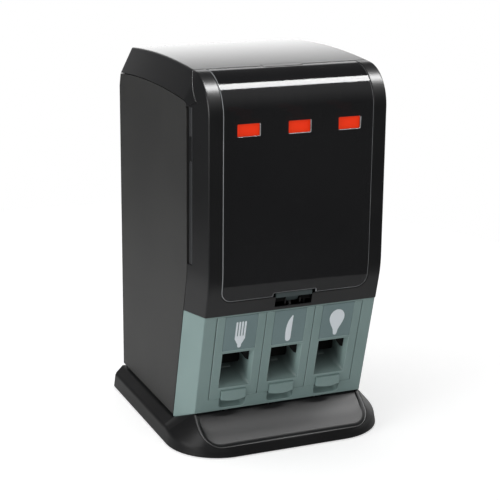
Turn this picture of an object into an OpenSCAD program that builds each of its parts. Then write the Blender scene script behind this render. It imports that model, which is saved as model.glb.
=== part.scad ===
// Countertop cutlery dispenser: three gravity columns behind a lift-up door,
// each emptied one utensil at a time by a push-down lever tab.
// X runs left to right, -Y is the front, Z is up, and the origin is the centre of the footprint.

/* [Overall] */
// Width over the two side panels
body_w = 244; // [220:1:320]
// Depth from the front face to the back panel
body_d = 278; // [250:1:340]
// Height of the roof's highest line
body_top = 459; // [400:1:560]
// Wall of the moulded covers
wall = 2.5; // [2:0.1:3.2]
// Visible seam between covers
seam = 0.5; // [0.3:0.1:1]

/* [Corner facets] */
// Width of the slanted corner strip, seen from the front
facet_w = 12.5; // [8:0.5:20]
// Depth of the slanted corner strip, seen from the side
facet_d = 38; // [26:0.5:42]
// Drop of the slanted strip along the roof
facet_drop = 32; // [24:0.5:38]

/* [Roof and nose] */
// Radius of the shallow roof arch
roof_r = 1250; // [900:10:2000]
// Where the arch is highest, measured from the footprint's centre
roof_apex_y = -8; // [-20:1:10]
// Radius of the rounded nose between front and roof
nose_r = 47; // [38:1:57]
// Distance from the nose to the joint between door and roof cap
roof_lag = 6; // [2:0.5:12]
// Lower corner of the roof cap's slanted joint, below the roof top
joint_drop = 34; // [28:1:41]
// Lower corner of the roof cap's slanted joint, behind the front face
joint_back = 24; // [20:1:30]
// Drop of the slanted upper back edge, below the roof top
rear_drop = 55; // [40:1:70]
// Step forward of the slanted upper back edge
rear_in = 17; // [10:0.5:24]

/* [Raked lower front] */
// Lean of the lower front
rake = 14.5; // [10:0.5:18]
// Radius of the bend above the rake
knee_r = 120; // [80:5:160]
// Height from the door's bottom edge to the upper end of the bend
knee_rise = 39; // [32:1:50]
// Gap between the base's ledge and the raked panel
bezel_lift = 17.5; // [12:0.5:20]
// Step back from the upper front to the raked panel
bezel_setback = 2; // [1:0.5:3]

/* [Base] */
// Step from a side panel out to the base's edge
base_side_step = 15.5; // [8:0.5:20]
// Step from the front face back to the base's edge
base_front_step = 3.5; // [0:0.5:10]
// Step from the back panel out to the base's edge
base_back_step = 2; // [1:0.5:6]
// Radius of the front corners in plan
base_corner = 66; // [50:1:74]
// Radius of the back corners in plan
base_back_corner = 8; // [4:1:16]
// Wall of the base moulding
base_wall = 3; // [2.4:0.1:3.6]
// Height of the upright rim at the sides
rim_side = 19; // [15:1:23]
// Height of the upright rim at the front
rim_front = 9; // [7:1:12]
// Height of the ledge that carries the body
ledge_z = 27.5; // [24:0.5:34]
// Depth of the dished apron in front of the body
dish = 2.5; // [1.5:0.1:3.5]
// Height of the rubber feet below the ballast plate
foot_h = 2; // [1.5:0.1:3]
// Radius of a rubber foot
foot_r = 11; // [8:0.5:14]
// Thickness of the ballast plate
ballast_t = 2.5; // [2:0.1:4]

/* [Door] */
// Frame strip beside the door
door_side = 16.5; // [12:0.5:24]
// Frame strip under the door
sill_h = 18; // [15:1:24]
// Radius of the door's lower corners
door_corner = 14; // [8:1:20]
// Gap round the door
door_gap = 0.7; // [0.5:0.1:1.2]
// Centre of the level windows, below the roof's highest line
sight_drop = 64.7; // [58:0.1:90]
// Width of a level window
sight_w = 27; // [20:0.5:33]
// Height of a level window
sight_h = 14; // [10:0.5:18]
// Radius of the hinge barrel
barrel_r = 2.6; // [2.2:0.1:3.2]
// Radius of the hinge pin
hinge_pin_r = 1.25; // [1:0.05:1.5]
// Half width of the hinge tongue in the door's top edge
tongue_half = 24; // [16:1:34]

/* [Towers] */
// Black strip plus grey strip beside the outer towers
tower_margin = 16; // [12:0.5:20]
// Free lane beside each column, where the lever arm runs
lane = 10.1; // [8.4:0.1:12.2]
// Height of the raked panel under the towers
tower_lift = 16.5; // [14:0.5:20]
// Height of the tower front under the window
window_lift = 14.5; // [12:0.5:18]
// Height of the dispensing window
window_h = 48; // [40:1:58]
// Height between the window and the label plate
label_lift = 3; // [2:0.5:5]
// Height of the label plate
label_h = 46; // [38:1:56]
// Depth of the label recess
label_t = 0.8; // [0.5:0.1:1.2]
// Width of the lever tab
tab_w = 31.4; // [24:0.1:34]
// Width of the finger pocket
pocket_w = 34; // [26:0.5:37]

/* [Magazines] */
// Wall of the magazine channels
mag_wall = 2; // [1.5:0.1:2.4]
// Room between the magazines and the back panel
mag_back_gap = 72; // [50:1:86]
// Room between the magazines and the roof
mag_top_gap = 26; // [22:1:40]
// How far the chute floor's upper end lies under the feed slide
chute_end_drop = 9.4; // [7:0.1:14]

/* [Lever work] */
// Lever pivot, behind the front face
pivot_back = 89; // [78:1:100]
// Lever pivot, above the bottom edge of the towers
pivot_rise = 2.5; // [1:0.5:4]
// Radius of the lever shaft
shaft_r = 3; // [2.5:0.1:3.6]
// Running clearance of the lever hubs
run_fit = 0.06; // [0.03:0.01:0.09]
// Gap between the window's top edge and the feed slide
slide_gap = 5; // [4:0.5:7]
// Thickness of the feed slides
slide_t = 2.5; // [2:0.1:3]
// Radius of the drive pin on a feed slide
drive_pin_r = 2; // [1.6:0.1:2.4]
// Play of the lever's fork on each side of the drive pin
pin_play = 0.35; // [0.25:0.05:0.5]

/* [Hidden] */
$fn = 48;

// colours
black_satin = [0.11, 0.11, 0.12];
black_gloss = [0.08, 0.08, 0.09];
charcoal = [0.24, 0.24, 0.24];
grey_green = [0.45, 0.54, 0.53];
label_blue = [0.43, 0.50, 0.53];
symbol_white = [0.85, 0.88, 0.90];
flag_red = [0.90, 0.22, 0.10];
steel = [0.62, 0.63, 0.65];
inner_grey = [0.35, 0.37, 0.38];
lens_clear = [0.6, 0.6, 0.65, 0.4];

// general clearances, and a length that is past everything
touch = 0.3;
slack = 0.5;
seat = 0.1;
far = 400;
cut = 1;

// plan
base_w = body_w + 2 * base_side_step;
base_d = body_d - base_front_step + base_back_step;
base_half = base_d / 2;
front_depth = base_half + base_front_step;
back_depth = base_half - base_back_step;
face_w = body_w - 2 * facet_w;
inside_half = body_w / 2 - wall - touch;
door_w = face_w - 2 * door_side;
roof_front = front_depth - nose_r - roof_lag;

// heights, from the ledge upwards
side_z = ledge_z + 1;
bezel_bottom = ledge_z + bezel_lift;
tower_bottom = bezel_bottom + tower_lift;
window_bottom = tower_bottom + window_lift;
window_top = window_bottom + window_h;
label_bottom = window_top + label_lift;
tower_top = label_bottom + label_h;
tower_edge = 3;
bezel_top = tower_top + tower_edge;
door_bottom = bezel_top + sill_h;
knee_z = door_bottom + knee_rise;
sight_z = body_top - sight_drop;

// columns
columns = 3;
pitch = (face_w - 2 * tower_margin) / columns;
column_in = pitch - 2 * lane;
column_out = column_in + 2 * mag_wall;
window_w = column_in - 3;
label_w = column_in - 1;
ear_x = [for (k = [0:columns]) (k - columns / 2) * pitch];
function tower_x(i) = (i - 2) * pitch;

// raked plane: x, then up along the rake, then outwards
knee_y = -front_depth + knee_r * (1 - cos(rake));
knee_end_z = knee_z - knee_r * sin(rake);
function rake_y(z, d = 0) = knee_y + (knee_end_z - z) * tan(rake) + d / cos(rake);
function along(z) = (z - bezel_bottom) / cos(rake);
module on_rake() {
    translate([0, rake_y(bezel_bottom, bezel_setback), bezel_bottom]) rotate([90 + rake, 0, 0]) children();
}

// side outline of the body, drawn inwards by front and top amounts
// how far a crease moves inwards for each unit of depth, at the front and at the sides
facet_turn = atan2(facet_d, facet_w);
crease_in = tan(facet_turn / 2);
side_in = tan((90 - facet_turn) / 2);
nose_steps = 12;
function arc(c, r, a0, a1, n) =
    [for (i = [0:n]) let (a = a0 + (a1 - a0) * i / n) c + r * [cos(a), sin(a)]];
function roof_z(y, d = 0) =
    body_top - roof_r + sqrt(pow(roof_r - d, 2) - pow(y - roof_apex_y, 2));
function outline(d_front, d_top, z_low, y_back) =
    let (
        r = nose_r - (d_front + d_top) / 2,
        big = roof_r - d_top,
        rc = [roof_apex_y, body_top - roof_r],
        ny = -front_depth + d_front + r,
        nz = rc[1] + sqrt(pow(big - r, 2) - pow(ny - rc[0], 2)),
        turn = atan2(nz - rc[1], ny - rc[0]),
        kc = [-front_depth + knee_r, knee_z]
    )
    concat(
        [[y_back, z_low], [rake_y(z_low, d_front), z_low]],
        arc(kc, knee_r - d_front, 180 + rake, 180, 6),
        arc([ny, nz], r, 180, turn, nose_steps),
        arc(rc, big, turn - 1, acos((y_back - rc[0]) / big), 8)
    );

// ---- shared shapes ----
module side_extrude(w) {
    rotate([90, 0, 90]) translate([0, 0, -w / 2]) linear_extrude(w) children();
}
module front_extrude(y0, y1) {
    translate([0, y1, 0]) rotate([90, 0, 0]) linear_extrude(y1 - y0) children();
}
module box(x0, x1, y0, y1, z0, z1) {
    translate([x0, y0, z0]) cube([x1 - x0, y1 - y0, z1 - z0]);
}
module rod(x0, x1, y, z, r) {
    translate([x0, y, z]) rotate([0, 90, 0]) cylinder(h = x1 - x0, r = r);
}
module tube(h, r_out, r_in) {
    difference() {
        cylinder(h = h, r = r_out);
        translate([0, 0, -cut]) cylinder(h = h + 2 * cut, r = r_in);
    }
}
// whole body envelope, drawn inwards by d
module envelope(d, z_low, y_back) {
    side_d = facet_d + side_in * d;
    side_drop = facet_drop + side_in * d;
    difference() {
        hull() {
            side_extrude(face_w - 2 * crease_in * d) polygon(outline(d, d, z_low, y_back));
            side_extrude(body_w - 2 * d) polygon(outline(side_d, side_drop, z_low, y_back));
        }
        side_extrude(far) rear_region(d);
    }
}
// side view of what the slanted upper back edge leaves out, drawn inwards by d
module rear_region(d) {
    reach = norm([rear_drop, rear_in]);
    over = 2;
    y = back_depth - d * reach / rear_drop;
    polygon([[y, body_top - rear_drop], [y - rear_in * over, body_top + rear_drop * (over - 1)],
        [far, body_top + rear_drop * (over - 1)], [far, body_top - rear_drop]]);
}
// what the side panels take out of the covers
module side_cut() {
    side_extrude(body_w + 2 * cut)
        polygon(outline(facet_d - touch, facet_drop - touch, 0, back_depth + cut));
}
// side view of the skin between two depths
module skin_slice(d0, d1) {
    difference() {
        polygon(outline(d0, d0, bezel_top, 0));
        polygon(outline(d1, d1, bezel_top - cut, cut));
    }
}
// region of the roof cap in side view, moved back by g
module roof_region(g) {
    y_top = -roof_front + g;
    y_low = -front_depth + joint_back + g;
    z_low = body_top - joint_drop;
    run = 60;
    fall = 30;
    polygon([[y_top, body_top + far], [y_top, roof_z(-roof_front)], [y_low, z_low],
        [y_low + run, z_low - fall], [far, z_low - fall], [far, body_top + far]]);
}

// ---- base ----
base_z0 = 1;
module footprint(inset) {
    r = base_corner - inset;
    b = max(base_back_corner - inset, 2);
    x = base_w / 2 - inset;
    hull() {
        for (s = [-1, 1]) {
            translate([s * (x - r), -base_half + inset + r]) circle(r, $fn = 64);
            translate([s * (x - b), base_half - inset - b]) circle(b, $fn = 24);
        }
    }
}
// side outline of the rim, lowering towards the front
module base_wedge(drop) {
    slope_end = -base_half + base_corner + 10;
    side_extrude(base_w + 2 * cut)
        polygon([[base_half + cut, 0], [-base_half - cut, 0], [-base_half - cut, rim_front - drop],
            [slope_end, rim_side - drop], [base_half + cut, rim_side - drop]]);
}
ridge_y0 = -base_half + 4;
ridge_z0 = rim_front + 5;
ridge_y1 = rake_y(bezel_bottom) + 4;
ridge_z1 = bezel_bottom - 0.8;
ridge_r = 22;
module base_form(inset, apron_drop) {
    ledge_half = body_w / 2 + 1 - inset;
    ridge_half = face_w / 2 - inset;
    form_z0 = base_z0 + 1;
    hull() {
        intersection() {
            translate([0, 0, base_z0]) linear_extrude(rim_side) footprint(inset);
            base_wedge(inset);
        }
        box(-ledge_half, ledge_half, ridge_y1 + facet_d, back_depth - inset, form_z0, ledge_z - inset);
        box(-ridge_half, ridge_half, ridge_y1, ridge_y1 + 1, form_z0, ridge_z1 - apron_drop);
        translate([0, ridge_y0 + inset + ridge_r, form_z0]) linear_extrude(ridge_z0 - form_z0 - apron_drop)
            hull() for (s = [-1, 1]) translate([s * (ridge_half - ridge_r), 0]) circle(ridge_r, $fn = 32);
    }
}
// the dish follows the apron's slope, a little inside its ridge
apron_tilt = atan2(ridge_z1 - ridge_z0, ridge_y1 - ridge_y0);
apron_edge = 5;
module apron_dish() {
    half = face_w / 2 - apron_edge;
    r = ridge_r - 2;
    r_back = 2;
    length = 90;
    translate([0, ridge_y0, ridge_z0]) rotate([apron_tilt, 0, 0]) translate([0, 0, -dish])
        linear_extrude(ledge_z) hull() for (s = [-1, 1]) {
            translate([s * (half - r), r + apron_edge]) circle(r, $fn = 32);
            translate([s * (half - r_back), length]) circle(r_back, $fn = 16);
        }
}
screw_r = 2;
screw_hole_r = 2.2;
screw_head_r = 4;
screw_access_r = 6;
base_screw_y = [-front_depth + pivot_back + 25, back_depth - 34];
base_screw_at = [for (x = [-1, 1], y = base_screw_y) [x * (body_w / 2 - 30), y]];
module base() {
    behind = rake_y(bezel_bottom, bezel_setback) + 1;
    floor_z1 = foot_h + ballast_t;
    color(charcoal) difference() {
        base_form(0, 0);
        base_form(base_wall, base_wall + dish);
        translate([0, 0, -cut]) linear_extrude(floor_z1 + cut) footprint(base_wall);
        intersection() {
            apron_dish();
            box(-far, far, -far, behind - 2, 0, far);
        }
        translate([0, 0, ledge_z]) linear_extrude(far) body_seat(behind);
        for (p = base_screw_at) translate([p[0], p[1], floor_z1]) cylinder(h = far, r = screw_hole_r);
    }
}
// plan of the body where it stands on the ledge, from its front backwards
module body_seat(y0) {
    x0 = face_w / 2 + touch;
    x1 = body_w / 2 + touch;
    polygon([[-x0, y0], [x0, y0], [x1, y0 + facet_d], [x1, far], [-x1, far], [-x1, y0 + facet_d]]);
}
module ballast_plate() {
    color(steel) difference() {
        translate([0, 0, foot_h]) linear_extrude(ballast_t) footprint(base_wall + touch);
        for (p = base_screw_at) translate([p[0], p[1], 0]) cylinder(h = ledge_z, r = screw_access_r);
    }
}
module feet() {
    front_foot = [base_w / 2 - base_corner, -base_half + base_corner - 20];
    back_foot = [base_w / 2 - 30, base_half - 26];
    color(black_satin) for (s = [-1, 1], p = [front_foot, back_foot])
        translate([s * p[0], p[1], 0]) cylinder(h = foot_h, r = foot_r);
}
module base_screws() {
    head_t = 2.5;
    color(steel) for (p = base_screw_at) translate([p[0], p[1], ledge_z - base_wall]) {
        translate([0, 0, -head_t]) cylinder(h = head_t, r = screw_head_r);
        cylinder(h = deck_z1 - ledge_z + base_wall + 1, r = screw_r);
    }
}

// ---- frame inside the covers ----
deck_z0 = ledge_z + touch;
deck_z1 = deck_z0 + 3;
ear_t = 4;
pivot_y = -front_depth + pivot_back;
pivot_z = tower_bottom + pivot_rise;
hub_r = shaft_r + 3;
module chassis() {
    deck_y0 = rake_y(bezel_bottom, bezel_setback) + 4;
    deck_y1 = back_depth - wall - touch;
    front_half = face_w / 2 - wall;
    foot_d = hub_r + 3;
    color(inner_grey) difference() {
        union() {
            translate([0, 0, deck_z0]) linear_extrude(deck_z1 - deck_z0) polygon([
                [-front_half, deck_y0], [front_half, deck_y0], [inside_half, deck_y0 + facet_d],
                [inside_half, deck_y1], [-inside_half, deck_y1], [-inside_half, deck_y0 + facet_d]]);
            for (x = ear_x) hull() {
                box(x - ear_t / 2, x + ear_t / 2, pivot_y - foot_d, pivot_y + foot_d, deck_z0, deck_z1);
                rod(x - ear_t / 2, x + ear_t / 2, pivot_y, pivot_z, hub_r);
            }
        }
        rod(-far, far, pivot_y, pivot_z, shaft_r + 0.02);
        for (p = base_screw_at) translate([p[0], p[1], 0]) cylinder(h = far, r = screw_hole_r);
    }
}
shaft_over = 5;
module lever_shaft() {
    color(steel) rod(ear_x[0] - shaft_over, ear_x[columns] + shaft_over, pivot_y, pivot_z, shaft_r);
}
module shaft_clips() {
    clip_t = 1.2;
    clip_x = ear_x[columns] + ear_t / 2 + touch;
    color(steel) for (x = [-clip_x - clip_t, clip_x])
        translate([x, pivot_y, pivot_z]) rotate([0, 90, 0]) tube(clip_t, shaft_r + 2.5, shaft_r);
}

// ---- outer covers ----
back_screw_y = 8;
back_screw_at = [for (x = [-1, 1], z = [side_z + 42, (side_z + body_top - 24) / 2, body_top - rear_drop - 12])
    [x * (body_w / 2 - 10), z]];
module at_back_screws(s = 0) {
    for (p = back_screw_at)
        if (s == 0 || s * p[0] > 0) translate([p[0], back_depth, p[1]]) rotate([90, 0, 0]) children();
}
module side_panel(s) {
    boss_d = 14;
    boss_half = 6;
    boss_x = body_w / 2 - 10;
    color(charcoal) difference() {
        union() {
            translate([s * (body_w - wall) / 2, 0, 0]) side_extrude(wall)
                difference() {
                    polygon(outline(facet_d + seam, facet_drop + seam, side_z, back_depth));
                    rear_region(0);
                }
            at_back_screws(s) translate([s * 2 - boss_half, -boss_half, wall + touch])
                cube([2 * boss_half, 2 * boss_half, boss_d]);
        }
        at_back_screws(s) cylinder(h = wall + boss_d / 2 + cut, r = screw_r);
    }
}
module left_side_panel() side_panel(-1);
module right_side_panel() side_panel(1);

module back_panel() {
    bend = body_top - rear_drop;
    top = roof_z(back_depth) - facet_drop;
    lean = rear_in / rear_drop;
    thick = wall * norm([1, lean]);
    fold = back_depth - (top - bend) * lean;
    inner = back_depth - wall;
    color(black_satin) difference() {
        union() {
            intersection() {
                envelope(wall + touch, side_z, back_depth);
                box(-inside_half, inside_half, inner, back_depth, 0, far * 2);
            }
            side_extrude(2 * inside_half) polygon([[back_depth, bend - 1], [back_depth, bend], [fold, top],
                [fold - thick, top], [inner, bend - (thick - wall) / lean], [inner, bend - 1]]);
        }
        at_back_screws() translate([0, 0, -cut]) cylinder(h = wall + 2 * cut, r = screw_hole_r);
    }
}
module back_screws() {
    head_t = 1.6;
    color(steel) at_back_screws() {
        translate([0, 0, -head_t]) cylinder(h = head_t, r = screw_head_r);
        cylinder(h = back_screw_y, r = screw_r);
    }
}

module roof_cap() {
    color(black_satin) difference() {
        envelope(0, bezel_top, back_depth);
        envelope(wall, bezel_top - cut, back_depth + cut);
        side_cut();
        difference() {
            box(-far, far, -far, far, 0, far * 2);
            side_extrude(far) roof_region(0);
        }
        box(-door_w / 2 - door_gap, door_w / 2 + door_gap, -far, -roof_front, 0, far * 2);
        tongue_room();
    }
}
// the door's opening in the front frame
module door_opening() {
    half = door_w / 2 + door_gap;
    box(-half, half, -far, -roof_front + 10, door_bottom - door_gap, far * 2);
}
module front_frame() {
    color(black_satin) difference() {
        union() {
            difference() {
                envelope(0, bezel_top, 0);
                envelope(wall, bezel_top - cut, cut);
                side_cut();
                side_extrude(far) roof_region(-seam);
                door_opening();
            }
            frame_lips();
        }
        latch_room();
    }
}
// stops just behind the door's side and bottom edges
lip_over = 2.5;
module frame_lips() {
    lip_t = 3;
    x0 = door_w / 2 - lip_over;
    x1 = door_w / 2 + lip_t;
    z0 = door_bottom - 6;
    z1 = body_top - nose_r - 12;
    difference() {
        intersection() {
            envelope(wall - 0.5, bezel_top, 0);
            union() {
                for (s = [-1, 1]) box(min(s * x0, s * x1), max(s * x0, s * x1), -far, 0, z0, z1);
                box(-x1, x1, -far, 0, z0, door_bottom + lip_over);
            }
        }
        envelope(wall + lip_t, bezel_top - cut, cut);
        door_keep_out();
    }
}
// the door's own thickness and a little more
module door_keep_out() {
    side_extrude(door_w + 2 * door_gap) difference() {
        polygon(outline(-cut, -cut, door_bottom - door_gap, 5));
        polygon(outline(wall + 0.6, wall + 0.6, bezel_top - cut, 6));
    }
}

// raked grey panel with its slanted side strips
module lower_bezel() {
    full = facet_d - bezel_setback;
    depth = full - touch;
    x1 = face_w / 2;
    lean = facet_w / full;
    over = 20;
    tower_half = columns * pitch / 2 + touch;
    inner_x = x1 - crease_in * wall;
    foot_y = rake_y(bezel_bottom, bezel_setback);
    color(grey_green) {
        difference() {
            on_rake() rotate([-90, 0, 0]) translate([0, 0, -over])
                linear_extrude(along(bezel_top) + 3 * over) difference() {
                    polygon([[-x1, 0], [x1, 0], [x1 + depth * lean, depth], [-x1 - depth * lean, depth]]);
                    polygon([[-inner_x, wall], [inner_x, wall],
                        [inner_x + (depth - wall) * lean, depth + 1],
                        [-inner_x - (depth - wall) * lean, depth + 1]]);
                }
            side_extrude(far) polygon([[-far, -far], [-far, bezel_bottom], [foot_y, bezel_bottom],
                [foot_y + facet_d, side_z], [far, side_z], [far, -far]]);
            box(-far, far, -far, far, bezel_top - touch, far);
            on_rake() {
                translate([-tower_half, along(tower_bottom), -over / 2])
                    cube([2 * tower_half, along(tower_top) - along(tower_bottom) + touch, over]);
                for (i = [1:columns]) translate([tower_x(i), 0, -over / 2])
                    linear_extrude(over) pocket_shape();
            }
        }
        for (i = [1:columns]) translate([tower_x(i), 0, 0]) pocket_liner();
    }
}
pocket_lip = 3;
pocket_r = 5;
module pocket_shape() {
    y0 = along(bezel_bottom + pocket_lip);
    y1 = along(tower_bottom + 1);
    corner_x = pocket_w / 2 - pocket_r;
    corner_y = y0 + pocket_r;
    hull() {
        translate([-pocket_w / 2, corner_y]) square([pocket_w, y1 - corner_y]);
        for (x = [-corner_x, corner_x]) translate([x, corner_y]) circle(pocket_r, $fn = 24);
    }
}
// shallow finger recess behind the bezel's lower strip
module pocket_liner() {
    t = 1.5;
    w = pocket_w / 2;
    y0 = rake_y(bezel_bottom + pocket_lip, bezel_setback + wall) - 0.5;
    y1 = y0 + 13.5;
    z0 = bezel_bottom;
    z1 = bezel_bottom + 9;
    box(-w - t, w + t, y0, y1, z0, z0 + t);
    box(-w - t, w + t, y1 - t, y1, z0, z1);
    for (x = [-w - t, w]) box(x, x + t, y0, y1, z0, z1);
}

// ---- towers ----
tab_top = window_bottom - 3.6;
tab_bottom = tower_bottom - 1;
tab_out = 2.2;
tab_bulge = 2;
module tower_front(i) {
    z0 = along(tower_bottom) + touch;
    w0 = along(window_bottom);
    color(grey_green) translate([tower_x(i), 0, 0]) on_rake() difference() {
        translate([-pitch / 2 + touch / 2, z0, -wall]) cube([pitch - touch, along(tower_top) - z0, wall]);
        translate([-window_w / 2, w0, -wall - cut])
            cube([window_w, along(window_top) - w0, wall + 2 * cut]);
        translate([-tab_w / 2 - slack, 0, -wall - cut])
            cube([tab_w + 2 * slack, along(tab_top) + slack, wall + 2 * cut]);
        translate([-label_w / 2, along(label_bottom), -label_t]) cube([label_w, far, label_t + cut]);
    }
}
module tower_front_1() tower_front(1);
module tower_front_2() tower_front(2);
module tower_front_3() tower_front(3);

label_gap = 0.15;
module label_plate(i) {
    y0 = along(label_bottom) + label_gap;
    y1 = along(tower_top) - label_gap;
    color(label_blue) translate([tower_x(i), 0, 0]) on_rake()
        translate([-label_w / 2 + label_gap, y0, -label_t]) cube([label_w - 2 * label_gap, y1 - y0, label_t]);
}
module label_plate_1() label_plate(1);
module label_plate_2() label_plate(2);
module label_plate_3() label_plate(3);

// plain cutlery symbols, standing on the middle of the label plates
symbol_h = 36;
symbol_t = 0.4;
handle_half = 2.2;
module on_label(i) {
    middle = (along(label_bottom) + along(tower_top)) / 2;
    color(symbol_white) translate([tower_x(i), 0, 0]) on_rake()
        translate([0, middle - symbol_h / 2, 0]) linear_extrude(symbol_t) children();
}
module fork_symbol() {
    tine_half = 1.2;
    tine_pitch = 4;
    tine_root = 17.5;
    reach = 1.5 * tine_pitch + tine_half;
    h = handle_half;
    tines = [for (k = [-1.5:1:1.5]) let (x0 = k * tine_pitch - tine_half, x1 = x0 + 2 * tine_half)
        each [[x0, tine_root], [x0, symbol_h], [x1, symbol_h], [x1, tine_root]]];
    on_label(1) polygon(concat([[-h, 0], [-h, 3], [-reach, 13]], tines, [[reach, 13], [h, 3], [h, 0]]));
}
module knife_symbol() {
    blade = 4.4;
    on_label(2) polygon(concat([[-3, 0], [3, 0], [blade, 8]], arc([-20, 10], 20 + blade, 3, 57, 10),
        [[-blade, symbol_h - 12], [-blade, 6]]));
}
module spoon_symbol() {
    bowl = [9.75, 13];
    h = handle_half;
    rim = [for (a = [240:-10:-60]) [bowl[0] * cos(a), symbol_h - bowl[1] + bowl[1] * sin(a)]];
    on_label(3) polygon(concat([[-h, 0], [-h, 5]], rim, [[h, 5], [h, 0]]));
}

// ---- columns ----
latch_depth = 11;
slide_z = window_top + slide_gap;
slide_top = slide_z + slide_t;
chute_front = rake_y(window_bottom, bezel_setback + wall);
mag_back = back_depth - mag_back_gap;
mag_front = rake_y(tower_top, bezel_setback + wall) + latch_depth;
mag_bottom = slide_top + slack;
mag_top = body_top - mag_top_gap;
chute_back = mag_back - mag_wall;
chute_low = window_bottom - 0.5;
chute_slope = atan((slide_z - chute_end_drop - chute_low) / (chute_back - chute_front));
function floor_z(y) = chute_low + (y - chute_front) * tan(chute_slope);
module chute(i) {
    floor_t = 3;
    leg = 10;
    mouth = 8;
    post_end = mag_front + 30;
    wall_top = slide_z - touch;
    leg_y = chute_back - leg;
    leg_z1 = floor_z(leg_y) - floor_t - 1;
    color(grey_green) translate([tower_x(i), 0, 0]) {
        difference() {
            side_extrude(column_out) polygon([
                [chute_front, floor_z(chute_front) - floor_t], [chute_front - mouth, wall_top - 4],
                [chute_front - mouth, mag_bottom], [post_end, mag_bottom], [post_end, wall_top],
                [chute_back, wall_top], [chute_back, deck_z1], [leg_y, deck_z1],
                [leg_y, floor_z(leg_y) - floor_t]]);
            side_extrude(column_in) polygon([
                [chute_front - 20, floor_z(chute_front - 20)], [chute_back - 2, floor_z(chute_back - 2)],
                [chute_back - 2, far], [chute_front - 20, far]]);
            side_extrude(column_in) polygon([
                [leg_y - cut, deck_z1 - cut], [chute_back + cut, deck_z1 - cut],
                [chute_back + cut, leg_z1], [leg_y - cut, leg_z1]]);
            on_rake() translate([-far / 2, -far / 2, -wall]) cube([far, far, far]);
        }
        stop_block();
    }
}
// raised stop in the middle of the chute floor
module stop_block() {
    y0 = chute_front + 26;
    y1 = y0 + 22;
    side_extrude(13) polygon([[y0, floor_z(y0) - 1], [y0, floor_z(y0) + 5],
        [y1, floor_z(y1) + 3], [y1, floor_z(y1) - 1]]);
}
module chute_1() chute(1);
module chute_2() chute(2);
module chute_3() chute(3);

module magazine(i) {
    h = column_in / 2;
    o = column_out / 2;
    mouth_depth = 40;
    mouth_h = 45;
    color(inner_grey) translate([tower_x(i), 0, 0]) {
        difference() {
            box(-o, o, mag_front, mag_back, mag_bottom, mag_top);
            box(-h, h, mag_front - cut, mag_back - mag_wall, mag_bottom - cut, mag_top + cut);
            box(-far, far, mag_front - cut, mag_front + mouth_depth, mag_top - mouth_h, mag_top + cut);
        }
        box(-o, o, mag_back - mag_wall, mag_back, deck_z1, mag_bottom + cut);
    }
}
module magazine_1() magazine(1);
module magazine_2() magazine(2);
module magazine_3() magazine(3);

follower_h = 14;
module follower(i) {
    h = column_in / 2 - slack;
    color(black_satin) translate([tower_x(i), 0, 0])
        box(-h, h, mag_front + 6, mag_back - mag_wall - slack, slide_top + touch, slide_top + follower_h);
}
module follower_1() follower(1);
module follower_2() follower(2);
module follower_3() follower(3);

// ---- lever work ----
pin_z = slide_z + slide_t / 2;
arm_t = 3;
arm_x0 = (column_out / 2 + pitch / 2 - ear_t / 2 - arm_t) / 2;
arm_x1 = arm_x0 + arm_t;
fork_half = drive_pin_r + pin_play;
crank_t = 6;
module lever(i) {
    hub_half = 11;
    fork_wall = 3.15;
    prong = 5;
    crank_y = rake_y(pivot_z, bezel_setback) + 1;
    color(grey_green) translate([tower_x(i), 0, 0]) difference() {
        union() {
            on_rake() translate([0, 0, -wall]) linear_extrude(wall + tab_out) tab_shape();
            side_extrude(2 * hub_half) polygon([
                [crank_y, pivot_z - crank_t / 2], [crank_y, pivot_z + crank_t / 2],
                [pivot_y, pivot_z + crank_t / 2], [pivot_y, pivot_z - crank_t / 2]]);
            rod(-hub_half, arm_x1, pivot_y, pivot_z, hub_r);
            box(arm_x0, arm_x1, pivot_y - fork_half - fork_wall, pivot_y + fork_half + fork_wall,
                pivot_z, pin_z + prong);
        }
        rod(-far, far, pivot_y, pivot_z, shaft_r + run_fit);
        box(arm_x0 - cut, arm_x1 + cut, pivot_y - fork_half, pivot_y + fork_half,
            pin_z - drive_pin_r - slack, far);
    }
}
module tab_shape() {
    half = tab_w / 2;
    r = (half * half + tab_bulge * tab_bulge) / (2 * tab_bulge);
    a = asin(half / r);
    polygon(concat([[half, along(tab_top)], [-half, along(tab_top)]],
        arc([0, along(tab_bottom) + r - tab_bulge], r, 270 - a, 270 + a, 12)));
}
module lever_1() lever(1);
module lever_2() lever(2);
module lever_3() lever(3);

module lever_spring(i) {
    spring_y = pivot_y - 21;
    z0 = deck_z1 + seat;
    z1 = pivot_z - crank_t / 2 - seat;
    color(steel) translate([tower_x(i), spring_y, z0]) tube(z1 - z0, 4.5, 3.5);
}
module lever_spring_1() lever_spring(1);
module lever_spring_2() lever_spring(2);
module lever_spring_3() lever_spring(3);

module feed_slide(i) {
    o = arm_x0 - slack;
    rail = 9;
    bridge = 14;
    front = -front_depth + 79;
    back = mag_back - mag_wall - 5;
    color(black_satin) translate([tower_x(i), 0, 0]) difference() {
        union() {
            box(-o, o, front, back, slide_z, slide_top);
            rod(o - 0.4, arm_x1 + 1, pivot_y, pin_z, drive_pin_r);
        }
        box(-o + rail, o - rail, front - cut, back - bridge, slide_z - cut, slide_top + cut);
    }
}
module feed_slide_1() feed_slide(1);
module feed_slide_2() feed_slide(2);
module feed_slide_3() feed_slide(3);

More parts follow.
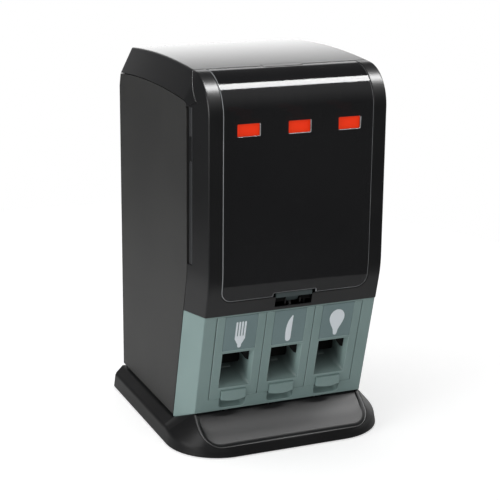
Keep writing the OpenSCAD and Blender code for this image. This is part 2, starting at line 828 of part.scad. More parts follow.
// ---- door ----
hinge_y = -roof_front - barrel_r - door_gap / 2;
hinge_z = roof_z(hinge_y) - barrel_r;
notch_h = 4.5;
module door_front_shape() {
    hull() {
        translate([-door_w / 2, body_top]) square([door_w, 10]);
        for (s = [-1, 1]) translate([s * (door_w / 2 - door_corner), door_bottom + door_corner])
            circle(door_corner);
    }
}
module at_sights() {
    for (i = [1:columns]) translate([tower_x(i), 0, sight_z]) children();
}
module door() {
    notch_half = latch_half + 4;
    color(black_gloss) difference() {
        union() {
            intersection() {
                side_extrude(door_w) difference() {
                    skin_slice(0, wall);
                    translate([hinge_y, 0]) square([far, far * 2]);
                }
                front_extrude(-far, 0) door_front_shape();
            }
            rod(-door_w / 2, door_w / 2, hinge_y, hinge_z, barrel_r);
        }
        rod(-far, far, hinge_y, hinge_z, hinge_pin_r + 0.05);
        tongue_room();
        box(-notch_half, notch_half, -far, 0, 0, door_bottom + notch_h);
        at_sights() box(-sight_w / 2, sight_w / 2, -far, 0, -sight_h / 2, sight_h / 2);
    }
}
tongue_y1 = -roof_front + 6;
module tongue_room() {
    half = tongue_half + touch;
    box(-half, half, hinge_y - barrel_r - 1.5, tongue_y1, hinge_z - 6, hinge_z + 20);
}
// the tongue that carries the hinge pin, on a plate under the roof
module hinge_bracket() {
    tongue_y0 = hinge_y - barrel_r;
    plate_t = 3.9;
    color(black_satin) difference() {
        side_extrude(2 * tongue_half) {
            intersection() {
                skin_slice(0, 2 * barrel_r);
                translate([tongue_y0, 0]) square([tongue_y1 - touch - tongue_y0, far * 2]);
            }
            intersection() {
                skin_slice(wall + seat, wall + seat + plate_t);
                translate([hinge_y - 1, 0]) square([26, far * 2]);
            }
        }
        rod(-far, far, hinge_y, hinge_z, hinge_pin_r);
    }
}
module door_hinge_pin() {
    color(steel) rod(-door_w / 2 + 1, door_w / 2 - 1, hinge_y, hinge_z, hinge_pin_r);
}

// panel behind the smoked door, with the flag shaft's ears
inner_y0 = -front_depth + wall + 2.5;
inner_half = door_w / 2 - 11;
flag_shaft_r = 1.5;
flag_y = -front_depth + 16;
flag_z = sight_z + sight_h / 2 + 10.5;
flag_ear_x = [-inner_half - 6, -pitch / 2, pitch / 2, inner_half + 6];
module door_inner_panel() {
    t = 1.8;
    z0 = door_bottom + 66;
    z1 = sight_z - sight_h / 2 - 5.3;
    bridge_z = z1 - 20;
    ear_half = 1.2;
    post_in = 10;
    post_h = inner_y0 + front_depth - wall;
    color(inner_grey) difference() {
        union() {
            box(-inner_half, inner_half, inner_y0, inner_y0 + t, z0, z1);
            for (x = [-inner_half + post_in, 0, inner_half - post_in], z = [z0 + post_in, z1 - post_in])
                translate([x, inner_y0, z]) rotate([90, 0, 0]) cylinder(h = post_h, r = 4);
            for (x = flag_ear_x) translate([x, 0, 0]) side_extrude(2 * ear_half) polygon([
                [inner_y0, bridge_z], [inner_y0, flag_z + 4], [flag_y + 4, flag_z + 4],
                [flag_y + 4, flag_z - 6], [inner_y0 + 8, bridge_z]]);
            box(flag_ear_x[0] - ear_half, flag_ear_x[columns] + ear_half,
                inner_y0, inner_y0 + t, bridge_z, z1);
        }
        rod(-far, far, flag_y, flag_z, flag_shaft_r + 0.02);
    }
}
module sight_lenses() {
    gap = 0.2;
    color(lens_clear) at_sights() box(-sight_w / 2 + gap, sight_w / 2 - gap,
        -front_depth + 0.6, -front_depth + wall, -sight_h / 2 + gap, sight_h / 2 - gap);
}
module flag_shaft() {
    color(steel) rod(flag_ear_x[0] - 2, flag_ear_x[columns] + 2, flag_y, flag_z, flag_shaft_r);
}
module flag(i) {
    t = 1.5;
    over = 2;
    feeler = 34;
    hub_half = 9;
    half = sight_w / 2 + over;
    y0 = -front_depth + wall + 1.2;
    color(flag_red) translate([tower_x(i), 0, 0]) difference() {
        union() {
            box(-half, half, y0, y0 + t, sight_z - sight_h / 2 - over, flag_z - 6);
            side_extrude(10) polygon([[y0, flag_z - 8], [y0, flag_z - 4], [flag_y, flag_z + 2],
                [flag_y + feeler, flag_z], [flag_y + feeler, flag_z - 4.5], [flag_y, flag_z - 3]]);
            rod(-hub_half, hub_half, flag_y, flag_z, 2 * flag_shaft_r);
        }
        rod(-far, far, flag_y, flag_z, flag_shaft_r + run_fit);
    }
}
module flag_1() flag(1);
module flag_2() flag(2);
module flag_3() flag(3);

// ---- latch: a bar in a notch of the door's bottom edge, pushed down against a spring ----
latch_half = 23;
latch_travel = 3.5;
latch_t = 4.5;
latch_z0 = door_bottom - 2;
latch_z1 = door_bottom + notch_h - 1;
latch_y0 = rake_y(door_bottom) + 0.4;
latch_pad_z = latch_z0 - 8;
latch_pad_t = 4;
latch_spring_y = latch_y0 + 13.4;
latch_back = latch_spring_y + 3.5;
latch_shelf_z = latch_pad_z - 10;
latch_stem_half = 8;
module latch_room() {
    box(-latch_half - slack, latch_half + slack, -far, 0, latch_z0 - latch_travel - slack, far);
}
module latch() {
    bar_y1 = latch_y0 + latch_t;
    pad_z1 = latch_pad_z + latch_pad_t;
    color(grey_green) {
        box(-latch_half, latch_half, latch_y0, bar_y1, latch_z0, latch_z1);
        side_extrude(2 * latch_stem_half) polygon([[bar_y1 - 0.5, latch_z0], [bar_y1 - 0.5, latch_z1],
            [bar_y1 + 3.5, latch_z1], [latch_back, pad_z1], [latch_back, latch_pad_z],
            [latch_y0 + 10, latch_pad_z]]);
    }
}
module latch_bracket() {
    t = 2;
    z0 = latch_shelf_z - t;
    y0 = rake_y(z0, bezel_setback + wall) + slack;
    y1 = latch_back + 1;
    z1 = latch_z0 - latch_travel - slack;
    foot_z = bezel_top + 1;
    step_z = foot_z + t;
    cheek = latch_stem_half + 0.4;
    color(steel) {
        for (x = [-cheek - t, cheek]) translate([x + t / 2, 0, 0]) side_extrude(t) polygon([
            [rake_y(foot_z, bezel_setback + wall) + slack, foot_z], [rake_y(step_z, wall) + seat, step_z],
            [rake_y(z1, wall) + seat, z1], [y1, z1], [y1, z0], [y0, z0]]);
        box(-cheek - t, cheek + t, y0, y1, z0, latch_shelf_z);
    }
}
module latch_spring() {
    z0 = latch_shelf_z + seat;
    color(steel) translate([0, latch_spring_y, z0]) tube(latch_pad_z - seat - z0, 2.5, 1.8);
}

base();
ballast_plate();
feet();
base_screws();
chassis();
left_side_panel();
right_side_panel();
back_panel();
back_screws();
roof_cap();
front_frame();
lower_bezel();
tower_front_1();
tower_front_2();
tower_front_3();
label_plate_1();
label_plate_2();
label_plate_3();
fork_symbol();
knife_symbol();
spoon_symbol();
chute_1();
chute_2();
chute_3();
magazine_1();
magazine_2();
magazine_3();
follower_1();
follower_2();
follower_3();
lever_shaft();
shaft_clips();
lever_1();
lever_2();
lever_3();
lever_spring_1();
lever_spring_2();
lever_spring_3();
feed_slide_1();
feed_slide_2();
feed_slide_3();
door();
door_inner_panel();
sight_lenses();
door_hinge_pin();
hinge_bracket();
flag_shaft();
flag_1();
flag_2();
flag_3();
latch();
latch_bracket();
latch_spring();
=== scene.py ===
from math import acos, atan2, cos, degrees, hypot, pi, radians, sin, sqrt, tan

import bmesh
import bpy
from mathutils import Matrix, Vector


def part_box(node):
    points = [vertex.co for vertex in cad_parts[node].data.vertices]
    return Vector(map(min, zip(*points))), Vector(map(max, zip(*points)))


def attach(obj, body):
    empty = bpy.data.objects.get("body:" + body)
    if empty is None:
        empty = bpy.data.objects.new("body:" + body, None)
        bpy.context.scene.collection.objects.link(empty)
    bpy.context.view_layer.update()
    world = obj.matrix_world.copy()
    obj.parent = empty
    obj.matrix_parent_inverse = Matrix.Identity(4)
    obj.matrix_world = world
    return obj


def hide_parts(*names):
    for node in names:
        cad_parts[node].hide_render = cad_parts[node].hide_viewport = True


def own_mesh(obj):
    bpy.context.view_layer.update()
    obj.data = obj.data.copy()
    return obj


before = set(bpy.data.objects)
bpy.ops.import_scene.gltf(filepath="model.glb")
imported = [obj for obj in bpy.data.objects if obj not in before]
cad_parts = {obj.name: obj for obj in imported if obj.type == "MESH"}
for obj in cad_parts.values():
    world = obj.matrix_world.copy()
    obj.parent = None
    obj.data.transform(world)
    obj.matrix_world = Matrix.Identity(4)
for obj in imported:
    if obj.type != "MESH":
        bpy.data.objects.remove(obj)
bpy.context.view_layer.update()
print("frame loaded:", len(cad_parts), "nodes")

mm = 0.001
columns = (1, 2, 3)
sides = ((-1, "left"), (1, "right"))
quarterTurn = pi / 2
# how far the cutting shapes reach past the part: to the sides and front, to the back and up
farSide, farBack, farTop = 300, 400, 700


def nodeBox(node):
    low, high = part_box(node)
    return [value / mm for value in low], [value / mm for value in high]


# shape of the cabinet in millimetres; what a node's box tells is read from it
panelLow, panelHigh = nodeBox("right_side_panel")
doorLow, doorHigh = nodeBox("door")
cabinet = {
    "bodyWidth": 2 * panelHigh[0], "faceWidth": 219, "front": -doorLow[1], "back": panelHigh[1],
    "top": nodeBox("roof_cap")[1][2], "wall": 2.5, "facetDepth": 38, "facetDrop": 32, "roofRadius": 1250,
    "apexY": -8, "noseRadius": 47, "roofFront": 88.75, "jointDrop": 34, "jointBack": 24,
    "rake": radians(14.5), "kneeRadius": 120, "kneeZ": 233, "bezelTop": 176, "bezelBottom": 45,
    "setback": 2, "creaseRound": 2.2, "rearDrop": 55, "rearIn": 17,
}
bodyHalf, faceHalf, faceY = cabinet["bodyWidth"] / 2, cabinet["faceWidth"] / 2, -cabinet["front"]
facetTurn = atan2(cabinet["facetDepth"], bodyHalf - faceHalf)
creaseIn = tan(facetTurn / 2)
sideIn = tan((pi / 2 - facetTurn) / 2)
kneeY = faceY + cabinet["kneeRadius"] * (1 - cos(cabinet["rake"]))
kneeEndZ = cabinet["kneeZ"] - cabinet["kneeRadius"] * sin(cabinet["rake"])


def rakeY(z, depth=0):
    rake = cabinet["rake"]
    return kneeY + (kneeEndZ - z) * tan(rake) + depth / cos(rake)


def arc(centre, radius, start, end, steps):
    points = []
    for i in range(steps + 1):
        angle = radians(start + (end - start) * i / steps)
        points.append((centre[0] + radius * cos(angle), centre[1] + radius * sin(angle)))
    return points


def roofZ(y):
    reach = cabinet["roofRadius"]
    return cabinet["top"] - reach + sqrt(reach**2 - (y - cabinet["apexY"]) ** 2)


# side view of the body as (y, z), drawn inwards by front and top amounts
def outline(inFront, inTop, zLow, yBack):
    radius = cabinet["noseRadius"] - (inFront + inTop) / 2
    big = cabinet["roofRadius"] - inTop
    roofCentre = (cabinet["apexY"], cabinet["top"] - cabinet["roofRadius"])
    noseY = faceY + inFront + radius
    noseZ = roofCentre[1] + sqrt((big - radius) ** 2 - (noseY - roofCentre[0]) ** 2)
    turn = degrees(atan2(noseZ - roofCentre[1], noseY - roofCentre[0]))
    kneeCentre = (faceY + cabinet["kneeRadius"], cabinet["kneeZ"])
    rakeDeg = degrees(cabinet["rake"])
    points = [(yBack, zLow), (rakeY(zLow, inFront), zLow)]
    points += arc(kneeCentre, cabinet["kneeRadius"] - inFront, 180 + rakeDeg, 180, 12)
    points += arc((noseY, noseZ), radius, 180, turn, 40)
    points += arc(roofCentre, big, turn - 0.5, degrees(acos((yBack - roofCentre[0]) / big)), 24)
    return points


def curve(a, b, c, t):
    return tuple(p * (1 - t) ** 2 + q * 2 * t * (1 - t) + r * t * t for p, q, r in zip(a, b, c))


def show(thing):
    bpy.context.scene.collection.objects.link(thing)


def meshObject(name, bm):
    bmesh.ops.scale(bm, vec=(mm, mm, mm), verts=bm.verts)
    bmesh.ops.recalc_face_normals(bm, faces=bm.faces)
    mesh = bpy.data.meshes.new(name)
    bm.to_mesh(mesh)
    bm.free()
    piece = bpy.data.objects.new(name, mesh)
    show(piece)
    return piece


def disc(radius):
    return [(radius * cos(a * pi / 16), radius * sin(a * pi / 16)) for a in range(32)]


# closed skin over rings that have the same number of points, in millimetres
def loft(name, rings, closed=False):
    bm = bmesh.new()
    made = [[bm.verts.new(point) for point in ring] for ring in rings]
    pairs = list(zip(made, made[1:]))
    if closed:
        pairs.append((made[-1], made[0]))
    for a, b in pairs:
        for i in range(len(a)):
            j = (i + 1) % len(a)
            bm.faces.new((a[i], a[j], b[j], b[i]))
    if not closed:
        bm.faces.new(made[0])
        bm.faces.new(made[-1])
    return meshObject(name, bm)


# a flat outline of (y, z) points drawn out along X
def sidePrism(name, points, x0, x1):
    return loft(name, [[(x, y, z) for y, z in points] for x in (x0, x1)])


# a flat outline of (x, z) points drawn out along Y
def frontPrism(name, points, y0, y1):
    return loft(name, [[(x, y, z) for x, z in points] for y in (y0, y1)])


def rectangle(a0, a1, b0, b1):
    return [(a0, b0), (a1, b0), (a1, b1), (a0, b1)]


def boxPrism(name, x0, x1, y0, y1, z0, z1):
    return sidePrism(name, rectangle(y0, y1, z0, z1), x0, x1)


# a side outline drawn out past both sides of the body, for cuts
def across(name, points):
    return sidePrism(name, points, -farSide, farSide)


# straight at the top, with two rounded lower corners
def cupOutline(half, low, high, radius, steps=8):
    points = [(half, high), (-half, high)]
    points += arc((-half + radius, low + radius), radius, 180, 270, steps)
    return points + arc((half - radius, low + radius), radius, 270, 360, steps)


def bake(piece):
    graph = bpy.context.evaluated_depsgraph_get()
    mesh = bpy.data.meshes.new_from_object(piece.evaluated_get(graph))
    piece.modifiers.clear()
    old = piece.data
    piece.data = mesh
    bpy.data.meshes.remove(old)


def combine(piece, tools, operation="DIFFERENCE"):
    for tool in tools:
        modifier = piece.modifiers.new("cut", "BOOLEAN")
        modifier.operation = operation
        modifier.solver = "EXACT"
        modifier.object = tool
    bake(piece)
    for tool in tools:
        bpy.data.objects.remove(tool)


# rounds the sharp edges and keeps flat faces flat in the shading
def soften(piece, width, segments=3, angle=28, edgeSlot=-1):
    bevel = piece.modifiers.new("bevel", "BEVEL")
    bevel.width = width * mm
    bevel.segments = segments
    bevel.limit_method = "ANGLE"
    bevel.angle_limit = radians(angle)
    bevel.use_clamp_overlap = False
    bevel.material = edgeSlot
    bevel.miter_outer = "MITER_ARC"
    bake(piece)
    smooth(piece)


def smooth(piece, sharpAngle=50):
    tiny = 0.002 * mm
    bm = bmesh.new()
    bm.from_mesh(piece.data)
    bmesh.ops.remove_doubles(bm, verts=bm.verts, dist=tiny)
    bmesh.ops.dissolve_degenerate(bm, edges=bm.edges, dist=tiny)
    for face in bm.faces:
        face.smooth = True
    for edge in bm.edges:
        sharp = len(edge.link_faces) == 2 and edge.calc_face_angle(0) > radians(sharpAngle)
        edge.smooth = not sharp
    bm.to_mesh(piece.data)
    bm.free()
    weighted = piece.modifiers.new("flat faces", "WEIGHTED_NORMAL")
    weighted.keep_sharp = True
    weighted.weight = 80
    bake(piece)


# gives a piece its look, its slot, the nodes it stands in for and the body it moves with
def settle(piece, look, nodes=(), body="housing", edgeLook=None):
    shown = [look, edgeLook] if edgeLook else [look]
    chosen = [polygon.material_index for polygon in piece.data.polygons]
    piece.data.materials.clear()
    for material in shown:
        piece.data.materials.append(material)
    for polygon, index in zip(piece.data.polygons, chosen):
        polygon.material_index = min(index, len(shown) - 1)
    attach(piece, body)
    if nodes:
        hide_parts(*nodes)
    print("made", piece.name, len(piece.data.polygons), "faces")


class Value:
    def __init__(self, look, socket):
        self.look = look
        self.socket = socket

    def maths(self, operation, *values):
        return self.look.node("ShaderNodeMath", {"operation": operation}, dict(enumerate(values)))

    def __add__(self, other):
        return self.maths("ADD", self, other)

    __radd__ = __add__

    def __mul__(self, other):
        return self.maths("MULTIPLY", self, other)

    def __sub__(self, other):
        return self.maths("SUBTRACT", self, other)

    def __rsub__(self, other):
        return self.maths("SUBTRACT", other, self)

    def above(self, low, high):
        settings = {"interpolation_type": "SMOOTHSTEP"}
        return self.look.node("ShaderNodeMapRange", settings, {"Value": self, "From Min": low, "From Max": high})


class Look:
    def __init__(self, name, tree=None):
        self.material = None
        if tree is None:
            self.material = bpy.data.materials.new(name)
            self.material.use_nodes = True
            tree = self.material.node_tree
        self.tree = tree
        tree.nodes.clear()

    # settings are set first, then each socket by its name or number gets a value or a link
    def node(self, kind, settings=None, sockets=None, output=0):
        made = self.tree.nodes.new(kind)
        for key, value in (settings or {}).items():
            setattr(made, key, value)
        for key, value in (sockets or {}).items():
            if isinstance(value, Value):
                self.tree.links.new(value.socket, made.inputs[key])
            else:
                made.inputs[key].default_value = value
        return Value(self, made.outputs[output])

    def place(self):
        return self.node("ShaderNodeTexCoord", output="Object")

    def noise(self, scale, detail=2.0, roughness=0.5, vector=None):
        sockets = {"Scale": scale, "Detail": detail, "Roughness": roughness}
        sockets["Vector"] = vector or self.place()
        return self.node("ShaderNodeTexNoise", {}, sockets)

    def blend(self, factor, first, second):
        settings = {"data_type": "RGBA", "blend_type": "MIX"}
        return self.node("ShaderNodeMix", settings, {0: factor, 6: first, 7: second}, output=2)

    def bump(self, height, distance, strength=1.0):
        return self.node("ShaderNodeBump", {}, {"Height": height, "Distance": distance, "Strength": strength})

    def axes(self, vector):
        split = self.node("ShaderNodeSeparateXYZ", {}, {"Vector": vector}).socket.node
        return [Value(self, output) for output in split.outputs]

    def output(self, node, name):
        return Value(self, node.socket.node.outputs[name])

    def principled(self, sockets):
        return self.node("ShaderNodeBsdfPrincipled", {}, sockets)

    def finish(self, shader, kind="ShaderNodeOutputMaterial"):
        output = self.tree.nodes.new(kind)
        self.tree.links.new(shader.socket, output.inputs["Surface"])
        return self.material


def grey(value):
    return (value, value, value, 1)


# moulded plastic: two close tones in soft clouds, fine grain in the gloss and the surface;
# painted shade: an optional dark tone takes over from the mouth of each chute inwards
def plastic(name, tone, tone2, rough, grain, grainDepth, spread=0.04, specular=0.5, paintedShade=None):
    look = Look(name)
    clouds = look.noise(14, 3).above(0.35, 0.65)
    fine = look.noise(grain, 4, 0.6)
    colour = look.blend(clouds, (*tone, 1), (*tone2, 1))
    # painted shade: darker with depth from the mouth of each chute inwards
    if paintedShade:
        x, y, z = look.axes(look.place())
        colour = look.blend((y - z * 0.35).above(-0.150, -0.098), colour, (*paintedShade, 1))
    return look.finish(look.principled({
        "Base Color": colour,
        "Roughness": rough - spread / 2 + fine * spread,
        "Normal": look.bump(fine, grainDepth),
        "Specular IOR Level": specular,
    }))


satinBlack = plastic("satin_black", (0.0065, 0.0067, 0.0074), (0.0085, 0.0087, 0.0095), 0.3, 1500, 2e-5)
charcoalGrain = plastic(
    "charcoal_grain", (0.016, 0.016, 0.0155), (0.020, 0.020, 0.019), 0.5, 1100, 16e-5, spread=0.1
)
baseCharcoal = plastic(
    "base_charcoal", (0.0078, 0.0078, 0.0083), (0.0098, 0.0098, 0.0103), 0.36, 1300, 3e-5, spread=0.05, specular=0.2
)
greyGreen = plastic("grey_green", (0.204, 0.292, 0.282), (0.224, 0.314, 0.304), 0.42, 1500, 2e-5)
# lighter green for the tower plates' rounded edges: a painted highlight
highlightGreen = plastic("painted_highlight_green", (0.30, 0.405, 0.395), (0.33, 0.44, 0.43), 0.38, 1500, 1e-5)
# chute lining: the grey-green plastic painted lighter as a painted highlight near the mouth, turning to painted shade
# inwards
chuteGreenLitAndShaded = plastic(
    "chute_green_painted_light_and_shade", (0.27, 0.375, 0.36), (0.29, 0.40, 0.385), 0.42, 1500, 2e-5, paintedShade=(0.030, 0.038, 0.037)
)
labelBlue = plastic("label_blue", (0.166, 0.240, 0.245), (0.178, 0.254, 0.260), 0.5, 1800, 1e-5)
latchGrey = plastic("latch_grey", (0.060, 0.078, 0.080), (0.070, 0.088, 0.090), 0.35, 1500, 2e-5)
innerPlastic = plastic("inner_plastic", (0.095, 0.102, 0.106), (0.11, 0.118, 0.122), 0.5, 1200, 3e-5)
footRubber = plastic("foot_rubber", (0.018, 0.018, 0.018), (0.026, 0.026, 0.026), 0.8, 2200, 6e-5)
symbolWhite = plastic("symbol_white", (0.78, 0.84, 0.88), (0.82, 0.87, 0.91), 0.5, 2500, 1e-5)
# near-black for pieces that stand where there is mostly shade: painted shadow
shadowBlack = plastic(
    "painted_shadow_black", (0.0028, 0.0028, 0.0028), (0.0038, 0.0038, 0.0038), 0.55, 1500, 2e-5, specular=0.1
)
trimGrey = plastic("trim_grey", (0.045, 0.047, 0.05), (0.055, 0.057, 0.06), 0.3, 1500, 1e-5)
# pale grey for the door's rounded edges: a painted highlight
highlightEdge = plastic("painted_highlight_edge", (0.26, 0.27, 0.28), (0.33, 0.34, 0.35), 0.2, 1500, 1e-5)


# bright signal plastic with a painted glow: emission that makes it glow though it is no lamp
def signalPlasticPaintedGlow(name):
    look = Look(name)
    clouds = look.noise(60, 2)
    tone = look.blend(clouds, (0.86, 0.030, 0.004, 1), (0.95, 0.045, 0.006, 1))
    return look.finish(look.principled({
        "Base Color": tone,
        # painted glow
        "Emission Color": tone,
        "Emission Strength": 0.42,
        "Roughness": 0.4 + clouds * 0.06,
        "Normal": look.bump(look.noise(1500), 1e-5),
        "Specular IOR Level": 0.2,
    }))


flagRed = signalPlasticPaintedGlow("flag_red")


# smoked high gloss that lets a little of what is behind it through
def smokedGloss(name, through):
    look = Look(name)
    clouds = look.noise(9, 3).above(0.3, 0.7)
    ripple = look.noise(55, 2)
    skin = look.principled({
        "Base Color": look.blend(clouds, (0.0125, 0.0127, 0.0136, 1), (0.0150, 0.0152, 0.0162, 1)),
        "Roughness": 0.05 + ripple * 0.03,
        "Normal": look.bump(ripple, 2e-5),
        "Specular IOR Level": 0.4,
    })
    clear = look.node("ShaderNodeBsdfTransparent", {}, {"Color": (0.55, 0.56, 0.6, 1)})
    return look.finish(look.node("ShaderNodeMixShader", {}, {0: through, 1: skin, 2: clear}))


blackGloss = smokedGloss("smoked_gloss", 0.13)


def brushedSteel(name, tone=0.5, tone2=0.6):
    look = Look(name)
    stretched = look.node("ShaderNodeMapping", {}, {"Vector": look.place(), "Scale": (0.04, 1, 1)})
    streaks = look.noise(900, 3, 0.6, stretched)
    return look.finish(look.principled({
        "Base Color": look.blend(look.noise(40), grey(tone), grey(tone2)),
        "Metallic": 1.0,
        "Roughness": 0.22 + streaks * 0.16,
        "Normal": look.bump(streaks, 1e-5),
    }))


steel = brushedSteel("steel")
blackSteel = brushedSteel("blackened_steel", 0.02, 0.03)


def clearLens(name):
    look = Look(name)
    haze = look.noise(300, 2)
    return look.finish(look.principled({
        "Base Color": look.blend(haze, grey(0.02), grey(0.03)),
        "Roughness": 0.04 + haze * 0.03,
        "Alpha": 0.04 + haze * 0.02,
    }))


lensClear = clearLens("lens_clear")
print("materials made")


# rings across the whole body, drawn inwards by inset, with both creases rounded
def bodyRings(inset, zLow, yBack):
    half = faceHalf - creaseIn * inset
    sideHalf = bodyHalf - inset
    front = outline(inset, inset, zLow, yBack)
    sideStep = sideIn * inset
    side = outline(cabinet["facetDepth"] + sideStep, cabinet["facetDrop"] + sideStep, zLow, yBack)
    reach = cabinet["creaseRound"]
    toSide = reach / hypot(sideHalf - half, cabinet["facetDepth"])

    def ring(share):
        return [tuple(a + (b - a) * share for a, b in zip((half, *p), (sideHalf, *q))) for p, q in zip(front, side)]

    steps = 5
    bends = list(zip(ring(toSide), ring(0), [(half - reach, y, z) for y, z in front]))
    rings = [ring(1)] + [[curve(*bend, i / steps) for bend in bends] for i in range(steps + 1)]
    return rings + [[(-x, y, z) for x, y, z in points] for points in reversed(rings)]


# what the slanted upper back edge leaves out
def rearCut(inset):
    low = cabinet["top"] - cabinet["rearDrop"]
    y = cabinet["back"] - inset * hypot(cabinet["rearDrop"], cabinet["rearIn"]) / cabinet["rearDrop"]
    top = low + 2 * cabinet["rearDrop"]
    return across("rear", [(y, low), (y - 2 * cabinet["rearIn"], top), (farBack, top), (farBack, low)])


def bodySolid(name, inset, zLow, yBack):
    solid = loft(name, bodyRings(inset, zLow, yBack))
    if yBack > 0:
        combine(solid, [rearCut(inset)])
    return solid


# the roof cap's part of the body: behind a seam that drops and slants back on both sides
def roofRegion(name, gap):
    yTop = -cabinet["roofFront"] + gap
    yLow = faceY + cabinet["jointBack"] + gap
    zLow = cabinet["top"] - cabinet["jointDrop"]
    lowest = zLow - 30
    points = [(yTop, farTop), (yTop, roofZ(-cabinet["roofFront"])), (yLow, zLow), (yLow + 60, lowest)]
    return across(name, points + [(farBack, lowest), (farBack, farTop)])


# the room of both side panels, in which the strips at the sides end
def sideCut(name):
    overlap = 0.3
    points = outline(cabinet["facetDepth"] - overlap, cabinet["facetDrop"] - overlap, 20, cabinet["back"] + 1)
    width = bodyHalf + 1
    return sidePrism(name, points, -width, width)


frameShell = {
    "doorGap": 0.7, "edge": 0.6, "doorCorner": 14, "latchGap": 0.5, "latchTravel": 3.8, "tongueGap": 0.3,
    "tongueLow": 430,
}
channel = {
    "low": 236, "high": 418, "depth": 1.7, "run": (-0.4, 10), "strip": (5.2, 9.6), "groove": (6.4, 8.4),
    "slot": (4.0, 8.8), "slotLow": 356, "slotHigh": 385, "plug": (4.2, 9.4), "plugDepth": 1.3,
}
latchCover = {"stem": 8.7, "overlap": 0.3, "setback": 4.9, "thick": 1, "heights": (185.5, 193)}
sidePanel = {"seam": 0.5, "edge": 0.25}


def doorOutline(grow):
    return cupOutline(doorHigh[0] + grow, doorLow[2] - grow, 480, frameShell["doorCorner"] + grow, 16)


# a length of the slanted corner strip: back is measured forwards from its rear edge, depth inwards
def facetPrism(name, side, backs, depths, heights):
    run = Vector((faceHalf - bodyHalf, -cabinet["facetDepth"])).normalized()
    into = Vector((run.y, -run.x))
    corner = Vector((bodyHalf, faceY + cabinet["facetDepth"]))
    plan = [corner + run * back + into * depth for back, depth in rectangle(*backs, *depths)]
    return loft(name, [[(side * point.x, point.y, z) for point in plan] for z in heights])


# strip with two ribs in the channel beside each side panel, and a dark plug in its slot
def makeChannelStrips():
    gap = 0.2
    low, high, floor = channel["low"] + gap, channel["high"] - gap, channel["depth"] - 0.05
    slotLow, slotHigh = channel["slotLow"], channel["slotHigh"]
    for side, name in sides:
        strip = facetPrism("channel_strip_" + name, side, channel["strip"], (0.15, floor), (low, high))
        combine(strip, [
            facetPrism("groove", side, channel["groove"], (-1, channel["depth"] - 0.5), (low - 1, high + 1)),
            facetPrism("slot", side, channel["slot"], (-1, 3), (slotLow, slotHigh)),
        ])
        soften(strip, 0.25, 2)
        settle(strip, trimGrey)
        plug = facetPrism("channel_slot_" + name, side, channel["plug"], (channel["plugDepth"], floor),
                          (slotLow + 0.3, slotHigh - 0.3))
        soften(plug, 0.15, 1)
        settle(plug, satinBlack)


# near-black covers behind the latch bar, either side of its stem, that paint the gap's shadow
def makeLatchCovers():
    latchLow, latchHigh = nodeBox("latch")
    y = latchLow[1] + latchCover["setback"]
    for side, name in sides:
        x0, x1 = sorted((side * latchCover["stem"], side * (latchHigh[0] + latchCover["overlap"])))
        cover = boxPrism("latch_cover_" + name, x0, x1, y, y + latchCover["thick"], *latchCover["heights"])
        soften(cover, 0.3, 2)
        settle(cover, shadowBlack)


def makeFrameShell():
    bezelTop = cabinet["bezelTop"]
    shell = bodySolid("front_frame_shell", 0, bezelTop, 0)
    latchLow, latchHigh = nodeBox("latch")
    latchHalf = latchHigh[0] + frameShell["latchGap"]
    latchRoom = latchLow[2] - frameShell["latchTravel"]
    combine(shell, [
        bodySolid("inner", cabinet["wall"], bezelTop - 10, 10),
        sideCut("sides"),
        roofRegion("roof", -0.5),
        frontPrism("doorway", doorOutline(frameShell["doorGap"]), -farSide, -cabinet["roofFront"] + 10),
        boxPrism("latch_room", -latchHalf, latchHalf, -farSide, 0, latchRoom, farBack),
    ] + [
        facetPrism("channel", side, channel["run"], (-2, channel["depth"]), (channel["low"], channel["high"]))
        for side, name in sides
    ])
    soften(shell, frameShell["edge"])
    settle(shell, satinBlack, ["front_frame"])


def makeRoofShell():
    doorHalf = doorHigh[0] + frameShell["doorGap"]
    front = -cabinet["roofFront"]
    shell = bodySolid("roof_cap_shell", 0, cabinet["bezelTop"], cabinet["back"])
    tongueLow, tongueHigh = nodeBox("hinge_bracket")
    gap = frameShell["tongueGap"]
    combine(shell, [
        bodySolid("inner", cabinet["wall"], cabinet["bezelTop"] - 10, cabinet["back"] + 10),
        sideCut("sides"),
        boxPrism("door", -doorHalf, doorHalf, -farSide, front, 0, farTop),
        boxPrism("tongue", tongueLow[0] - gap, tongueHigh[0] + gap, -100, front + 6, frameShell["tongueLow"], farTop),
    ])
    combine(shell, [roofRegion("keep", 0)], "INTERSECT")
    soften(shell, frameShell["edge"])
    settle(shell, satinBlack, ["roof_cap"])


def makeSidePanel(side, node):
    seam = sidePanel["seam"]
    points = outline(cabinet["facetDepth"] + seam, cabinet["facetDrop"] + seam, 31, cabinet["back"])
    outer = side * bodyHalf
    inner = outer - side * cabinet["wall"]
    shell = sidePrism(node + "_shell", points, min(inner, outer), max(inner, outer))
    combine(shell, [rearCut(seam / 2)])
    soften(shell, sidePanel["edge"])
    settle(shell, charcoalGrain, [node])


makeFrameShell()
makeRoofShell()
for side, name in sides:
    makeSidePanel(side, name + "_side_panel")
makeChannelStrips()
makeLatchCovers()


# the base is one skin swept round the footprint: rim, shoulder, ridge, dished apron and inside
base = {
    "halfWidth": nodeBox("base")[1][0], "halfDepth": nodeBox("base")[1][1], "frontCorner": 66, "backCorner": 8,
    "rimSide": 19, "rimFront": 9, "rimLean": 2.2, "ledge": 27.5, "ridgeFront": 4, "ridgeRise": 5,
    "ridgeCorner": 22, "ridgeWidth": 5, "dish": 2.6, "dishRun": 12, "hollow": 1.6, "hollowRun": 30, "wall": 3,
    "round": 2.6,
}
bezelSeat = cabinet["bezelBottom"] - 0.8


